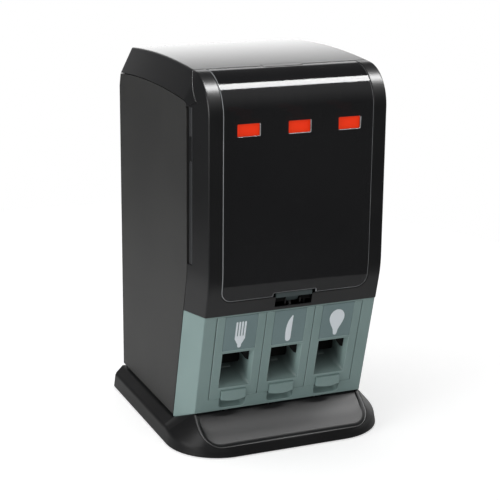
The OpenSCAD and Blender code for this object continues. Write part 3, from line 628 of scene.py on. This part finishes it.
# half outline of the footprint and of the ridge, from the middle of the front to the middle of the back
def baseStations():
    half, depth, corner = base["halfWidth"], base["halfDepth"], base["frontCorner"]
    ridgeX = faceHalf
    ledgeX = bodyHalf + 1
    ridgeBack = rakeY(cabinet["bezelBottom"]) + 4
    ridgeY = -depth + base["ridgeFront"]
    ridgeZ = base["rimFront"] + base["ridgeRise"]
    slope = (bezelSeat - ridgeZ) / (ridgeBack - ridgeY)
    small = base["ridgeCorner"]
    outer, inner = [], []

    def add(count, outerAt, innerAt):
        for i in range(count):
            outer.append(outerAt(i / count))
            inner.append(innerAt(i / count))

    def turn(x, y, radius):
        return lambda angle: (x + radius * sin(angle), y - radius * cos(angle))

    def line(start, end):
        return lambda t: tuple(a + (b - a) * t for a, b in zip(start, end))

    def onApron(x, y):
        return (x, y, ridgeZ + (y - ridgeY) * slope)

    front, back, ledge = ridgeY + small, base["backCorner"], base["ledge"]
    facetEnd, sideStart, backY = ridgeBack + cabinet["facetDepth"], -depth + corner, cabinet["back"] + 1
    turnOff = 0.62 * quarterTurn
    outerTurn, ridgeTurn = turn(half - corner, sideStart, corner), turn(ridgeX - small, front, small)
    backTurn, backEnd = turn(half - back, depth - back, back), (ledgeX, backY, ledge)
    add(14, line((0, -depth), (half - corner, -depth)), line((0, ridgeY, ridgeZ), (ridgeX - small, ridgeY, ridgeZ)))
    add(20, lambda t: outerTurn(turnOff * t), lambda t: onApron(*ridgeTurn(quarterTurn * t)))
    add(12, lambda t: outerTurn(turnOff + (quarterTurn - turnOff) * t),
        line(onApron(ridgeX, front), onApron(ridgeX, ridgeBack)))
    add(10, line((half, sideStart), (half, facetEnd)), line((ridgeX, ridgeBack, bezelSeat), (ledgeX, facetEnd, ledge)))
    add(6, line((half, facetEnd), (half, depth - back)), line((ledgeX, facetEnd, ledge), backEnd))
    add(8, lambda t: backTurn(quarterTurn * (1 + t)), line(backEnd, backEnd))
    add(1, line((half - back, depth), (half - back, depth)), line(backEnd, backEnd))
    return outer + [(0, depth)], inner + [(0, backY, ledge)], ridgeBack


def rounded(points, reaches, steps=5):
    made = [points[0]]
    for before, corner, after, reach in zip(points, points[1:], points[2:], reaches):
        a, b, c = (Vector(point) for point in (before, corner, after))
        start = b + (a - b).normalized() * min(reach, (a - b).length * 0.45)
        end = b + (c - b).normalized() * min(reach, (c - b).length * 0.45)
        made += [curve(start, b, end, i / steps) for i in range(steps + 1)]
    return made + [points[-1]]


def insetLoop(points, amount):
    moved = []
    count = len(points)
    for i, point in enumerate(points):
        before, after = Vector(points[i - 1][:2]), Vector(points[(i + 1) % count][:2])
        along = (after - before).normalized()
        moved.append((point[0] - along.y * amount, point[1] + along.x * amount))
    return moved


def mirrorLoop(points):
    return points + [(-point[0], *point[1:]) for point in reversed(points[1:-1])]


def makeBase():
    outerHalf, innerHalf, ridgeBack = baseStations()
    outer, inner = mirrorLoop(outerHalf), mirrorLoop(innerHalf)
    wall, soft, ledge = base["wall"], base["round"], base["ledge"] - 0.3
    leaned = insetLoop(outer, base["rimLean"])
    wallLoop = insetLoop(outer, wall)
    ridgeIn = insetLoop(inner, base["ridgeWidth"])
    seatY = ridgeBack + 1
    frontY, frontZ = inner[0][1:]

    def apronZ(y):
        return frontZ + (y - frontY) * (frontZ - bezelSeat) / (frontY - ridgeBack)

    rings = []
    for rim, lean, inside, ridge, (x, y) in zip(outer, leaned, wallLoop, inner, ridgeIn):
        nearFront = min(max((rim[1] + base["halfDepth"]) / (base["frontCorner"] + 10), 0), 1)
        rimZ = base["rimFront"] + (base["rimSide"] - base["rimFront"]) * nearFront
        if ridge[1] < ridgeBack - 0.01:
            y = min(y, seatY - 0.5)
            z = apronZ(y) - base["dish"] * min((ridgeBack - ridge[1]) / base["dishRun"], 1)
            middle = (y + seatY) / 2
            middleZ = apronZ(middle) - base["dish"] - base["hollow"] * min((seatY - y) / base["hollowRun"], 1)
            seatZ = apronZ(seatY) - base["dish"]
            top = [(x, y, z), (x, middle, middleZ), (x, seatY, seatZ)]
            low = [(x, seatY, seatZ - wall), (x, middle, middleZ - wall), (x, y + wall, z - wall)]
        else:
            ledgeEnd = x * 0.985
            top = [(x, y, ridge[2] - 0.2), (x, y, ledge), (ledgeEnd, y, ledge)]
            low = [(ledgeEnd, y, ledge - wall)] + [(x, y, ledge - wall)] * 2
        foot = [a + (b - a) * 0.25 for a, b in zip(rim, inside)]
        profile = [(*inside, 1.0), (*foot, 1.0), (*rim, 1.9), (*lean, rimZ), ridge] + top + low
        profile += [(*inside, rimZ - wall), (*inside, 1.0)]
        reaches = [0.5, 0.8, soft + 0.6, soft, 2.2, 8, 0.3, 0.3, 2, 2, 1.5]
        rings.append(rounded(profile, reaches)[:-1])
    shell = loft("base_shell", rings, closed=True)
    smooth(shell, 40)
    settle(shell, baseCharcoal, ["base"])


makeBase()


door = {
    "notchHalf": 27, "notchHeight": 4.5, "edge": 0.8, "barrel": 2.6, "tongueHalf": 24.3, "tongueRoom": 1.5,
    "sightHalf": 13.5, "sightGap": 0.2, "dimple": (0, 305.5), "dimpleRadius": 3.4, "dimpleDepth": 0.9,
}


def makeDoor():
    half, low, wall = doorHigh[0], doorLow[2], cabinet["wall"]
    notch, tongue, tongueLow = door["notchHalf"], door["tongueHalf"], frameShell["tongueLow"]
    hingeY = -cabinet["roofFront"] - door["barrel"] - frameShell["doorGap"] / 2
    shell = sidePrism("door_shell", outline(0, 0, 170, 0), -half, half)
    combine(shell, [frontPrism("shape", doorOutline(0), -farSide, 0)], "INTERSECT")
    tools = [
        across("inner", outline(wall, wall, 160, 10)),
        boxPrism("behind", -farSide, farSide, hingeY, farSide, 0, farTop),
        boxPrism("notch", -notch, notch, -farSide, 0, 0, low + door["notchHeight"]),
        boxPrism("tongue", -tongue, tongue, hingeY - door["barrel"] - door["tongueRoom"], 0, tongueLow, farTop),
    ]
    sightLow, sightHigh = (corner[2] for corner in nodeBox("sight_lenses"))
    sight, gap = door["sightHalf"], door["sightGap"]
    for i in columns:
        x = sum(corner[0] for corner in nodeBox("tower_front_%d" % i)) / 2
        tools.append(boxPrism("sight", x - sight, x + sight, -farSide, 0, sightLow - gap, sightHigh + gap))
    spotX, spotZ = door["dimple"]
    reach, depth = door["dimpleRadius"], door["dimpleDepth"]
    profile = ((reach, -1), (reach, 0), (reach * 0.8, depth * 0.55), (reach * 0.4, depth * 0.95), (0.2, depth))
    tools.append(loft("dimple", [
        [(spotX + x, faceY + y, spotZ + z) for x, z in disc(radius)] for radius, y in profile
    ]))
    combine(shell, tools)
    for look in (blackGloss, highlightEdge):
        shell.data.materials.append(look)
    soften(shell, door["edge"], 2, edgeSlot=1)
    # the bevel carries a painted highlight but for the dimple and the upper and left edges of the sights, which stay
    # dark as shade
    for polygon in shell.data.polygons:
        x, y, z = polygon.center / mm
        inSight = abs(x) < half - 4 and sightLow - 2 < z < sightHigh + 2
        rim = polygon.normal.z > 0.3 and z < sightLow + 1 or polygon.normal.x < -0.3
        inDimple = abs(x - spotX) < 2 * reach and abs(z - spotZ) < 2 * reach
        if inDimple or inSight and not rim:
            polygon.material_index = 0
    settle(shell, blackGloss, ["door"], "door", edgeLook=highlightEdge)


makeDoor()


# the raked lower front, drawn as x, up along the rake and outwards
towers = {
    "pitch": 187 / 3, "bottom": 61.5, "top": 173, "windowLow": 76, "windowHigh": 124, "windowHalf": 20.4,
    "labelLow": 127, "labelHalf": 20.1, "labelDepth": 0.8, "gap": 0.9, "seam": (19.65, 20.7), "seamDepth": 2.1,
    "tabHalf": 15.7, "tabTop": 72.4, "tabGap": 0.5,
    "pocketHalf": 17, "pocketLow": 48, "pocketRound": 5, "pocketDepth": 11, "pocketCurve": 5,
    "leverHalf": 11.8, "leverRoom": ((-100, 52.3), (-52, 60.5), (-52, 90), (-100, 90)),
}


def towerX(i):
    return (i - 2) * towers["pitch"]


def along(z):
    return (z - cabinet["bezelBottom"]) / cos(cabinet["rake"])


def onRake(x, up, out):
    lean = cabinet["rake"]
    y = rakeY(cabinet["bezelBottom"], cabinet["setback"]) - up * sin(lean) - out * cos(lean)
    return (x, y, cabinet["bezelBottom"] + up * cos(lean) - out * sin(lean))


def rakePrism(name, points, low, high):
    return loft(name, [[onRake(x, up, out) for x, up in points] for out in (low, high)])


def rakeBox(name, x0, x1, up0, up1, low, high):
    return rakePrism(name, rectangle(x0, x1, up0, up1), low, high)


def pocketOutline(inset):
    radius = max(towers["pocketRound"] - inset * 0.3, 1.5)
    low, high = along(towers["pocketLow"]) + inset, along(towers["bottom"] + 1)
    return cupOutline(towers["pocketHalf"] - inset, low, high, radius)


# a scoop whose sides and floor curve in towards its back
def pocketScoop(x, name, grow):
    rings = []
    depth = towers["pocketDepth"] + grow
    for share in (0, 0.15, 0.35, 0.6, 0.8, 0.93, 1):
        inset = towers["pocketCurve"] * (1 - sqrt(max(1 - share**2, 0))) - grow
        out = 1 - share * (depth + 1)
        rings.append([onRake(x + px, up, out) for px, up in pocketOutline(inset)])
    return loft(name, rings)


def makeBezel():
    full = cabinet["facetDepth"] - cabinet["setback"]
    reach, soft = full - 0.3, 1.5
    lean = (bodyHalf - faceHalf) / full
    half, wall = faceHalf, cabinet["wall"]
    inner = half - creaseIn * wall
    right = [(half - soft, 0), (half, soft * 0.18), (half + soft * lean, soft), (half + reach * lean, reach),
             (inner + (reach - wall) * lean, reach), (inner, wall)]
    plan = right + [(-x, depth) for x, depth in reversed(right)]
    shell = loft("lower_bezel_shell", [[onRake(x, up, -depth) for x, depth in plan] for up in (-30, 175)])
    footZ, sideZ = cabinet["bezelBottom"], base["ledge"] + 1
    footY = rakeY(footZ, cabinet["setback"])
    low = [(-farSide, -50), (-farSide, footZ), (footY, footZ), (footY + cabinet["facetDepth"], sideZ),
           (farSide, sideZ), (farSide, -50)]
    towerHalf = len(columns) * towers["pitch"] / 2 + 0.3
    combine(shell, [
        across("low", low),
        boxPrism("high", -farSide, farSide, -farSide, farSide, cabinet["bezelTop"] - 0.3, 600),
        rakeBox("opening", -towerHalf, towerHalf, along(towers["bottom"]), along(towers["top"]) + 0.3, -20, 20),
    ] + [rakePrism("pocket", [(towerX(i) + x, up) for x, up in pocketOutline(0)], -20, 20) for i in columns])
    soften(shell, 0.7, 3, 24)
    settle(shell, greyGreen, ["lower_bezel"])


# the finger pocket under each tab, with room above it for the lever to swing
def makePocket(i):
    x = towerX(i)
    scoop = pocketScoop(x, "pocket_scoop_%d" % i, 0.9)
    combine(scoop, [
        pocketScoop(x, "hollow", -0.1),
        rakeBox("face", -farSide, farSide, -50, farSide, -0.35, 40),
        rakeBox("roof", -farSide, farSide, along(towers["bottom"]) + 0.2, farSide, -40, 40),
    ])
    smooth(scoop, 35)
    combine(scoop, [sidePrism("lever_room", towers["leverRoom"], x - towers["leverHalf"], x + towers["leverHalf"])])
    settle(scoop, greyGreen)


def makeTower(i):
    x, wall = towerX(i), cabinet["wall"]
    half = towers["pitch"] / 2 - towers["gap"] / 2
    window, label, tab = towers["windowHalf"], towers["labelHalf"], towers["tabHalf"] + towers["tabGap"]
    tabTop, labelLow = along(towers["tabTop"]) + towers["tabGap"], along(towers["labelLow"])
    low, high = along(towers["windowLow"]), along(towers["windowHigh"])
    plate = rakeBox("tower_front_%d_plate" % i, x - half, x + half, along(towers["bottom"]) + 0.3,
                    along(towers["top"]), -wall, 0)
    tools = [
        rakeBox("window", x - window, x + window, low, high, -wall - 1, 1),
        rakeBox("tab", x - tab, x + tab, 0, tabTop, -wall - 1, 1),
        rakeBox("label", x - label, x + label, labelLow, farBack, -towers["labelDepth"], 1),
    ]
    for side, name in sides:
        x0, x1 = sorted(x + side * edge for edge in towers["seam"])
        tools.append(rakeBox("groove", x0, x1, labelLow - 0.6, farBack, -towers["seamDepth"], 1))
    combine(plate, tools)
    # the rounded edges of each plate take the painted highlight green
    for look in (greyGreen, highlightGreen):
        plate.data.materials.append(look)
    soften(plate, 0.45, 2, 24, 1)
    settle(plate, greyGreen, ["tower_front_%d" % i], edgeLook=highlightGreen)


# what is seen through each window: depths are measured in from the raked front
chute = {
    "half": 17.9, "flare": 6, "mouthGap": 0.15, "wall": 0.8, "slope": radians(15.2), "fallShare": 0.93,
    "outerHalf": 19.7, "skin": 2.45, "reach": 60, "lift": 0.4, "flareLift": 0.3, "round": 1.2, "rounder": 8.5,
    "roundDepth": 22,
    "depths": (0.1, 1.5, 3, 4.5, 6, 9, 14, 20, 28, 36, 44), "slideRoom": 126.5,
    "blockX": -1.5, "block": ((28, 7.2, -0.2), (29, 7.6, 1.2), (31, 7.8, 1.6), (38, 7.8, 1.8), (45, 7.8, 1.9)),
    "gateHalf": 19.6, "gateY": (-76.5, -75), "gateZ": (97, 128),
    "finger": ((19.4, 0), (4.5, 0), (5.5, -5.5), (8.5, -9.5), (11.5, -13.8), (14.5, -17.4), (17, -18.8), (19.4, -19)),
    "fingerDepths": (-10.5, -7), "cheekX": (-17.95, -16.5),
}


# scooped lining of each chute: flared mouth and rounded floor corners
def chuteRing(depth, grow):
    flare = min(depth / chute["flare"], 1)
    mouth = towers["windowHalf"] - chute["mouthGap"]
    half = mouth + (chute["half"] - mouth) * flare + grow
    lean = cabinet["rake"]
    fall = depth * (tan(chute["slope"] + lean) - tan(lean)) * chute["fallShare"]
    low = along(towers["windowLow"]) + chute["lift"] + chute["flareLift"] * flare - grow + fall
    radius = chute["round"] + chute["rounder"] * min(depth / chute["roundDepth"], 1)
    return cupOutline(half, low, along(towers["windowHigh"]) - 0.1 + grow, radius)


def makeChuteLiner(i):
    x, outer, depths = towerX(i), chute["outerHalf"], chute["depths"]
    left, right = x - chute["reach"], x + chute["reach"]

    def lining(name, grow, first, last):
        steps = (depths[0] + first,) + depths[1:-1] + (depths[-1] + last,)
        return loft(name, [
            [onRake(x + px, up, -depth) for px, up in chuteRing(max(depth, 0), grow)] for depth in steps
        ])

    liner = lining("chute_liner_%d" % i, chute["wall"], 0, 0)
    combine(liner, [
        lining("hollow", 0, -1.5, 1.5),
        rakeBox("above", left, right, along(towers["windowHigh"]) - 3, farSide, -80, -9),
        boxPrism("slide_room", left, right, -farSide, farSide, chute["slideRoom"], farBack),
        rakeBox("sides", left, x - outer, -50, farSide, -80, -chute["skin"]),
        rakeBox("sides", x + outer, right, -50, farSide, -80, -chute["skin"]),
    ])
    smooth(liner, 40)
    settle(liner, chuteGreenLitAndShaded)


# a low block on the chute's floor, which stops what slides down
def makeChuteBlock(i):
    rings = []
    for depth, half, lift in chute["block"]:
        low = min(up for x, up in chuteRing(depth, 0))
        foot, top = low - 0.4, low + lift
        shape = ((half, foot), (half * 0.92, top), (-half * 0.92, top), (-half, foot))
        rings.append([onRake(towerX(i) + chute["blockX"] + x, up, -depth) for x, up in shape])
    block = loft("chute_block_%d" % i, rings)
    soften(block, 0.3, 2, 25)
    settle(block, chuteGreenLitAndShaded)


# near-black pieces behind each window that paint its shade: the gate across the throat, a real part whose black also
# paints the shade there, and the finger in the corner and the left cheek, painted shadow where the opening and the left
# floor lie in shade
def makeChuteShadows(i):
    x, half = towerX(i), chute["gateHalf"]
    low, high = along(towers["windowLow"]) + 0.6, along(towers["windowHigh"])
    gate = boxPrism("chute_gate_%d" % i, x - half, x + half, *chute["gateY"], *chute["gateZ"])
    shape = [(x + px, high + 1 + up) for px, up in chute["finger"]]
    finger = rakePrism("chute_finger_%d" % i, shape, *chute["fingerDepths"])
    side = ((-6.2, low + 1.6), (-24, low + 6.8), (-24, high - 3), (-6.2, high - 0.3))
    cheek = loft("chute_cheek_%d" % i, [[onRake(x + px, up, out) for out, up in side] for px in chute["cheekX"]])
    for piece, width, segments in ((gate, 0.5, 2), (finger, 0.7, 3), (cheek, 0.25, 2)):
        soften(piece, width, segments)
        settle(piece, shadowBlack)


tabCap = {"across": 24, "along": 12, "swell": 2.25, "lip": 1.1, "bow": 1.3, "sag": 1.6, "back": 0.2}


# cap on each lever's tab: flush at its top, swelling into a curved lower lip
def makeTabCap(i):
    half, back, steps = towers["tabHalf"] - 0.1, tabCap["back"], tabCap["along"]
    top = along(towers["tabTop"]) - 0.05
    rings = []
    for c in range(tabCap["across"] + 1):
        share = c / tabCap["across"] * 2 - 1
        x = towerX(i) + share * half
        bow = 1 - share**2
        low = along(towers["bottom"]) - 0.2 - tabCap["sag"] * bow
        lip = tabCap["lip"] + tabCap["bow"] * bow
        places = [(top + (low - top) * r / steps, tabCap["swell"] + lip * (r / steps) ** 1.6) for r in range(steps + 1)]
        places += [(low - 0.5 * sin(k * 0.5), (tabCap["swell"] + lip) * (1 - k / 3) + back) for k in (1, 2, 3)]
        rings.append([onRake(x, up, out) for up, out in places + [(top, back)]])
    cap = loft("tab_cap_%d" % i, rings)
    soften(cap, 0.45, 2, 40)
    settle(cap, greyGreen, body="lever_%d" % i)


makeBezel()
for i in columns:
    makePocket(i)
for i in columns:
    makeTower(i)
    makeChuteLiner(i)
    makeChuteBlock(i)
    makeChuteShadows(i)
    makeTabCap(i)


symbols = {"height": 36, "thick": 0.4, "drop": 2.3}


def makeSymbol(i, node, outlines):
    middle = (along(towers["labelLow"]) + along(towers["top"])) / 2 - symbols["height"] / 2 - symbols["drop"]
    parts = []
    for k, points in enumerate(outlines):
        placed = [(towerX(i) + x, middle + up) for x, up in points]
        parts.append(rakePrism("%s_print_%d" % (node, k), placed, -0.02, symbols["thick"] - 0.1))
    first = parts[0]
    combine(first, parts[1:], "UNION")
    soften(first, 0.08, 1, 40)
    settle(first, symbolWhite, [node])


def makeSymbols():
    body = [(-6.5, 16.2), (-6.5, 13.4)] + arc((-4.5, 12.6), 2, 180, 220, 4) + arc((-6.4, 3.6), 4, 45, 5, 4)
    body += arc((0, 2.2), 2.3, 185, 355, 8)
    body += arc((6.4, 3.6), 4, 175, 135, 4) + arc((4.5, 12.6), 2, -40, 0, 4) + [(6.5, 13.4), (6.5, 16.2)]
    tine = 1.15
    tines = [
        [(x - tine, 15), (x + tine, 15)] + arc((x, 36 - tine), tine, 0, 180, 8) for x in (-5.35, -1.783, 1.783, 5.35)
    ]
    makeSymbol(1, "fork_symbol", [body] + tines)
    blade = [(3.5, 4.0), (3.6, 20.0), (3.7, 33.6)] + arc((2.9, 34.9), 0.9, 0, 130, 5)
    blade += [(0.4, 32.6), (-1.7, 28.6), (-3.1, 23.6), (-3.9, 17.6), (-4.0, 12.0), (-3.6, 7.0), (-3.2, 3.4)]
    blade += arc((0.1, 3.2), 3.2, 190, 350, 8)
    makeSymbol(2, "knife_symbol", [blade])
    bowl = [(9.7 * cos(radians(a)), 24.6 + 11.4 * sin(radians(a))) for a in range(-24, 205, 6)]
    neck = [(2.7, 4.2), (3.3, 7.2), (4.6, 10.4), (6.4, 13.8), (8.0, 17.3)]
    bowl += [(-x, up) for x, up in reversed(neck)] + arc((0, 2.3), 2.4, 185, 355, 8) + neck
    makeSymbol(3, "spoon_symbol", [bowl])


makeSymbols()


# a Geometry Nodes rule with named number inputs, built with the same calls as a look
class Rule(Look):
    def __init__(self, name, numbers):
        super().__init__(name, bpy.data.node_groups.new(name, "GeometryNodeTree"))
        shape = ("Geometry", "NodeSocketGeometry")
        inputs = [shape] + [(label, "NodeSocketFloat") for label in numbers]
        for way, sockets in (("INPUT", inputs), ("OUTPUT", [shape])):
            for label, kind in sockets:
                self.tree.interface.new_socket(label, in_out=way, socket_type=kind)
        given = self.tree.nodes.new("NodeGroupInput").outputs
        self.given = {label: Value(self, given[label]) for label in ["Geometry"] + numbers}

    def finish(self, shape, material):
        real = self.node("GeometryNodeRealizeInstances", {}, {0: shape})
        painted = self.node("GeometryNodeSetMaterial", {}, {"Geometry": real, "Material": material})
        output = self.tree.nodes.new("NodeGroupOutput")
        self.tree.links.new(painted.socket, output.inputs[0])
        return self.tree


def growPiece(piece, tree, values):
    rule = piece.modifiers.new("rule", "NODES")
    rule.node_group = tree
    for item in tree.interface.items_tree:
        if item.in_out == "INPUT" and item.name in values:
            rule[item.identifier] = values[item.name]
    bake(piece)


# coil spring: a spiral swept with the wire's round section
def springRule():
    rule = Rule("spring_rule", ["Turns", "Radius", "Wire", "Height"])
    radius = rule.given["Radius"]
    spiral = rule.node("GeometryNodeCurveSpiral", {}, {
        "Resolution": 20, "Rotations": rule.given["Turns"], "Start Radius": radius, "End Radius": radius,
        "Height": rule.given["Height"],
    })
    section = rule.node("GeometryNodeCurvePrimitiveCircle", {}, {"Resolution": 8, "Radius": rule.given["Wire"]})
    sweep = rule.node("GeometryNodeCurveToMesh", {}, {"Curve": spiral, "Profile Curve": section, "Fill Caps": True})
    return rule.finish(rule.node("GeometryNodeSetShadeSmooth", {}, {0: sweep}), steel)


# wire radius, turns and the share of its length that each spring keeps when pressed
springs = {"lever": (0.45, 7, 0.81), "latch": (0.3, 6, 0.64)}


def makeSpring(node, joint, wire, turns, keep):
    low, high = (Vector(corner) for corner in nodeBox(node))
    piece = meshObject(node + "_coil", bmesh.new())
    middle = (low + high) / 2
    values = {"Turns": turns, "Radius": ((high.x - low.x) / 2 - wire) * mm, "Wire": wire * mm}
    values["Height"] = (high.z - low.z - 2 * wire) * mm
    growPiece(piece, springTree, values)
    piece.data.transform(Matrix.Translation(Vector((middle.x, middle.y, low.z + wire)) * mm))
    settle(piece, steel, [node])
    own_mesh(piece)


springTree = springRule()
for i in columns:
    makeSpring("lever_spring_%d" % i, "lever_press_%d" % i, *springs["lever"])
makeSpring("latch_spring", "latch_press", *springs["latch"])


screws = {
    "headRadius": 4, "shank": 1.95, "crossReach": 2.5, "crossHalf": 0.45, "crossDepth": 0.9, "seed": 7, "spin": 3.1,
    "base": [(x, y, 24.4) for x in (-92, 92) for y in (-27.75, 102.25)],
    "back": [(x, 136.35, z) for x in (-112, 112) for z in (70.5, 231.75, 392)],
}


# domed head with a cross recess, pointing up, its underside at the origin
def makeScrewModel(name, headHeight, shankLength):
    radius = screws["headRadius"]
    dome = [(radius, 0), (radius, headHeight * 0.45), (radius * 0.86, headHeight * 0.8), (radius * 0.5, headHeight)]
    profile = [(screws["shank"], -shankLength), (screws["shank"], 0)] + dome
    model = loft(name, [[(x, y, z) for x, y in disc(r)] for r, z in profile])
    half, reach, low = screws["crossHalf"], screws["crossReach"], headHeight - screws["crossDepth"]
    combine(model, [
        boxPrism("bar", -reach, reach, -half, half, low, 9), boxPrism("bar", -half, half, -reach, reach, low, 9)
    ])
    smooth(model, 35)
    return model


# one screw model set on every point, each turned by its own seeded angle about its axis
def screwRule(name, model, tilt):
    rule = Rule(name, ["Spin"])
    source = rule.node("GeometryNodeObjectInfo", {}, {"Object": model}, output="Geometry")
    sockets = {"Points": rule.given["Geometry"], "Instance": source, "Rotation": tilt}
    placed = rule.node("GeometryNodeInstanceOnPoints", {}, sockets)
    # socket 3 and output 1 are the ones for plain numbers
    sockets = {"Seed": screws["seed"], 3: rule.given["Spin"]}
    angle = rule.node("FunctionNodeRandomValue", {"data_type": "FLOAT"}, sockets, output=1)
    turn = rule.node("ShaderNodeCombineXYZ", {}, {"Z": angle})
    sockets = {"Instances": placed, "Rotation": turn, "Local Space": True}
    return rule.finish(rule.node("GeometryNodeRotateInstances", {}, sockets), steel)


def makeScrews(node, headHeight, shankLength, tilt, points):
    model = makeScrewModel(node + "_model", headHeight, shankLength)
    bm = bmesh.new()
    for point in points:
        bm.verts.new(point)
    piece = meshObject(node + "_set", bm)
    growPiece(piece, screwRule(node + "_rule", model, tilt), {"Spin": screws["spin"]})
    bpy.data.objects.remove(model)
    settle(piece, steel, [node])


makeScrews("base_screws", 2.4, 7.5, (2 * quarterTurn, 0, 0), screws["base"])
makeScrews("back_screws", 1.5, 8, (-quarterTurn, 0, 0), screws["back"])
print("springs and screws made")


# the exact solids that stay in view get a look and rounded edges
staying = {
    "ballast_plate": steel, "feet": footRubber, "chassis": innerPlastic, "back_panel": satinBlack,
    "lever_shaft": steel, "shaft_clips": steel, "door_inner_panel": innerPlastic, "sight_lenses": lensClear,
    "door_hinge_pin": steel, "hinge_bracket": satinBlack, "flag_shaft": steel, "latch": latchGrey,
    "latch_bracket": blackSteel,
}
numbered = {
    "label_plate": labelBlue, "chute": greyGreen, "magazine": innerPlastic, "follower": satinBlack,
    "lever": greyGreen, "feed_slide": satinBlack, "flag": flagRed,
}
for i in columns:
    for kind, look in numbered.items():
        staying["%s_%d" % (kind, i)] = look
for node, look in staying.items():
    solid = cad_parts[node]
    solid.data.materials.clear()
    solid.data.materials.append(look)
    solid.modifiers.new("weld", "WELD").merge_threshold = 0.002 * mm
    edges = solid.modifiers.new("edges", "BEVEL")
    edges.width = 0.2 * mm
    edges.segments = 2
    edges.limit_method = "ANGLE"
    edges.angle_limit = radians(35)


stageSizes = {"floorRadius": 0.75, "floorFront": -0.42, "floorPaint": 0.8, "floorLift": 0.5}


def makeFloor():
    bm = bmesh.new()
    bmesh.ops.create_circle(bm, cap_ends=True, radius=stageSizes["floorRadius"], segments=96)
    mesh = bpy.data.meshes.new("floor")
    bmesh.ops.translate(bm, vec=(0, stageSizes["floorRadius"] + stageSizes["floorFront"], 0), verts=bm.verts)
    bm.to_mesh(mesh)
    bm.free()
    floor = bpy.data.objects.new("floor", mesh)
    show(floor)
    look = Look("floor_white")
    paint = look.node("ShaderNodeBsdfDiffuse", {}, {"Color": grey(stageSizes["floorPaint"])})
    rays = look.node("ShaderNodeLightPath")
    lift = look.node("ShaderNodeEmission", {}, {"Strength": rays * stageSizes["floorLift"]})
    mesh.materials.append(look.finish(look.node("ShaderNodeAddShader", {}, {0: paint, 1: lift})))


def makeWorld():
    world = bpy.data.worlds.new("studio")
    world.use_nodes = True
    bpy.context.scene.world = world
    look = Look("studio", world.node_tree)
    x, y, z = look.axes(look.node("ShaderNodeTexCoord", output="Generated"))
    rays = look.node("ShaderNodeLightPath")
    isCamera, isGlossy = look.output(rays, "Is Camera Ray"), look.output(rays, "Is Glossy Ray")
    behind = y.above(0.2, 0.7) * x.above(-0.25, 0.2)
    backdrop = behind * (1 - z.above(0.1, 0.42)) * z.above(-0.5, -0.1)
    glow = (1 - y.above(-0.2, 0.1)) * z.above(0.1, 0.85)
    glossy = 0.1 + backdrop * 3.05 + glow * 0.6
    strength = isCamera + isGlossy * glossy + (1 - isCamera) * (1 - isGlossy) * 0.56
    background = look.node("ShaderNodeBackground", {}, {"Color": grey(1), "Strength": strength})
    look.finish(background, "ShaderNodeOutputWorld")


def areaLight(name, place, target, width, height, radiance, diffuse=True, glossy=True):
    light = bpy.data.lights.new(name, "AREA")
    light.shape = "RECTANGLE"
    light.size = width
    light.size_y = height
    light.energy = radiance * pi * width * height
    lamp = bpy.data.objects.new(name, light)
    lamp.location = place
    lamp.rotation_euler = (Vector(target) - Vector(place)).to_track_quat("-Z", "Y").to_euler()
    lamp.visible_camera = False
    lamp.visible_diffuse = diffuse
    lamp.visible_glossy = glossy
    show(lamp)


def makeLights():
    areaLight("left_softbox", (-1.9, -0.55, 0.65), (0, 0, 0.15), 1.3, 1.2, 3.8)
    areaLight("top_softbox", (-0.2, 0.3, 1.7), (0, 0, 0.2), 1.4, 1.0, 1.1, glossy=False)
    areaLight("nose_strip", (0.45, -0.33, 1.46), (0.45, -0.12, 0.44), 1.9, 0.33, 26.0, diffuse=False)


# the photograph's camera, found from the cabinet's straight edges
camera = {
    "azimuth": -23.046, "elevation": 16.207, "roll": 0.572, "focalPixels": 1482.97, "imagePixels": 500,
    "distance": 1827.7, "right": -4.904, "up": -12.708, "aim": (0, -13.75, 228),
}


def makeCamera():
    azimuth, elevation, roll = (radians(camera[key]) for key in ("azimuth", "elevation", "roll"))
    back = Vector((
        sin(azimuth) * cos(elevation), -cos(azimuth) * cos(elevation), sin(elevation)
    ))
    level = Vector((cos(azimuth), sin(azimuth), 0))
    rise = back.cross(level)
    right = level * cos(roll) + rise * sin(roll)
    up = rise * cos(roll) - level * sin(roll)
    lens = bpy.data.cameras.new("photo_camera")
    lens.sensor_width = 36
    lens.lens = 36 * camera["focalPixels"] / camera["imagePixels"]
    eye = bpy.data.objects.new("photo_camera", lens)
    place = Vector(camera["aim"]) + back * camera["distance"] + right * camera["right"] + up * camera["up"]
    eye.matrix_world = Matrix((right, up, back)).transposed().to_4x4()
    eye.location = place * mm
    show(eye)
    bpy.context.scene.camera = eye


makeFloor()
makeWorld()
makeLights()
makeCamera()
bpy.context.scene.view_settings.view_transform = "Standard"
print("stage ready")
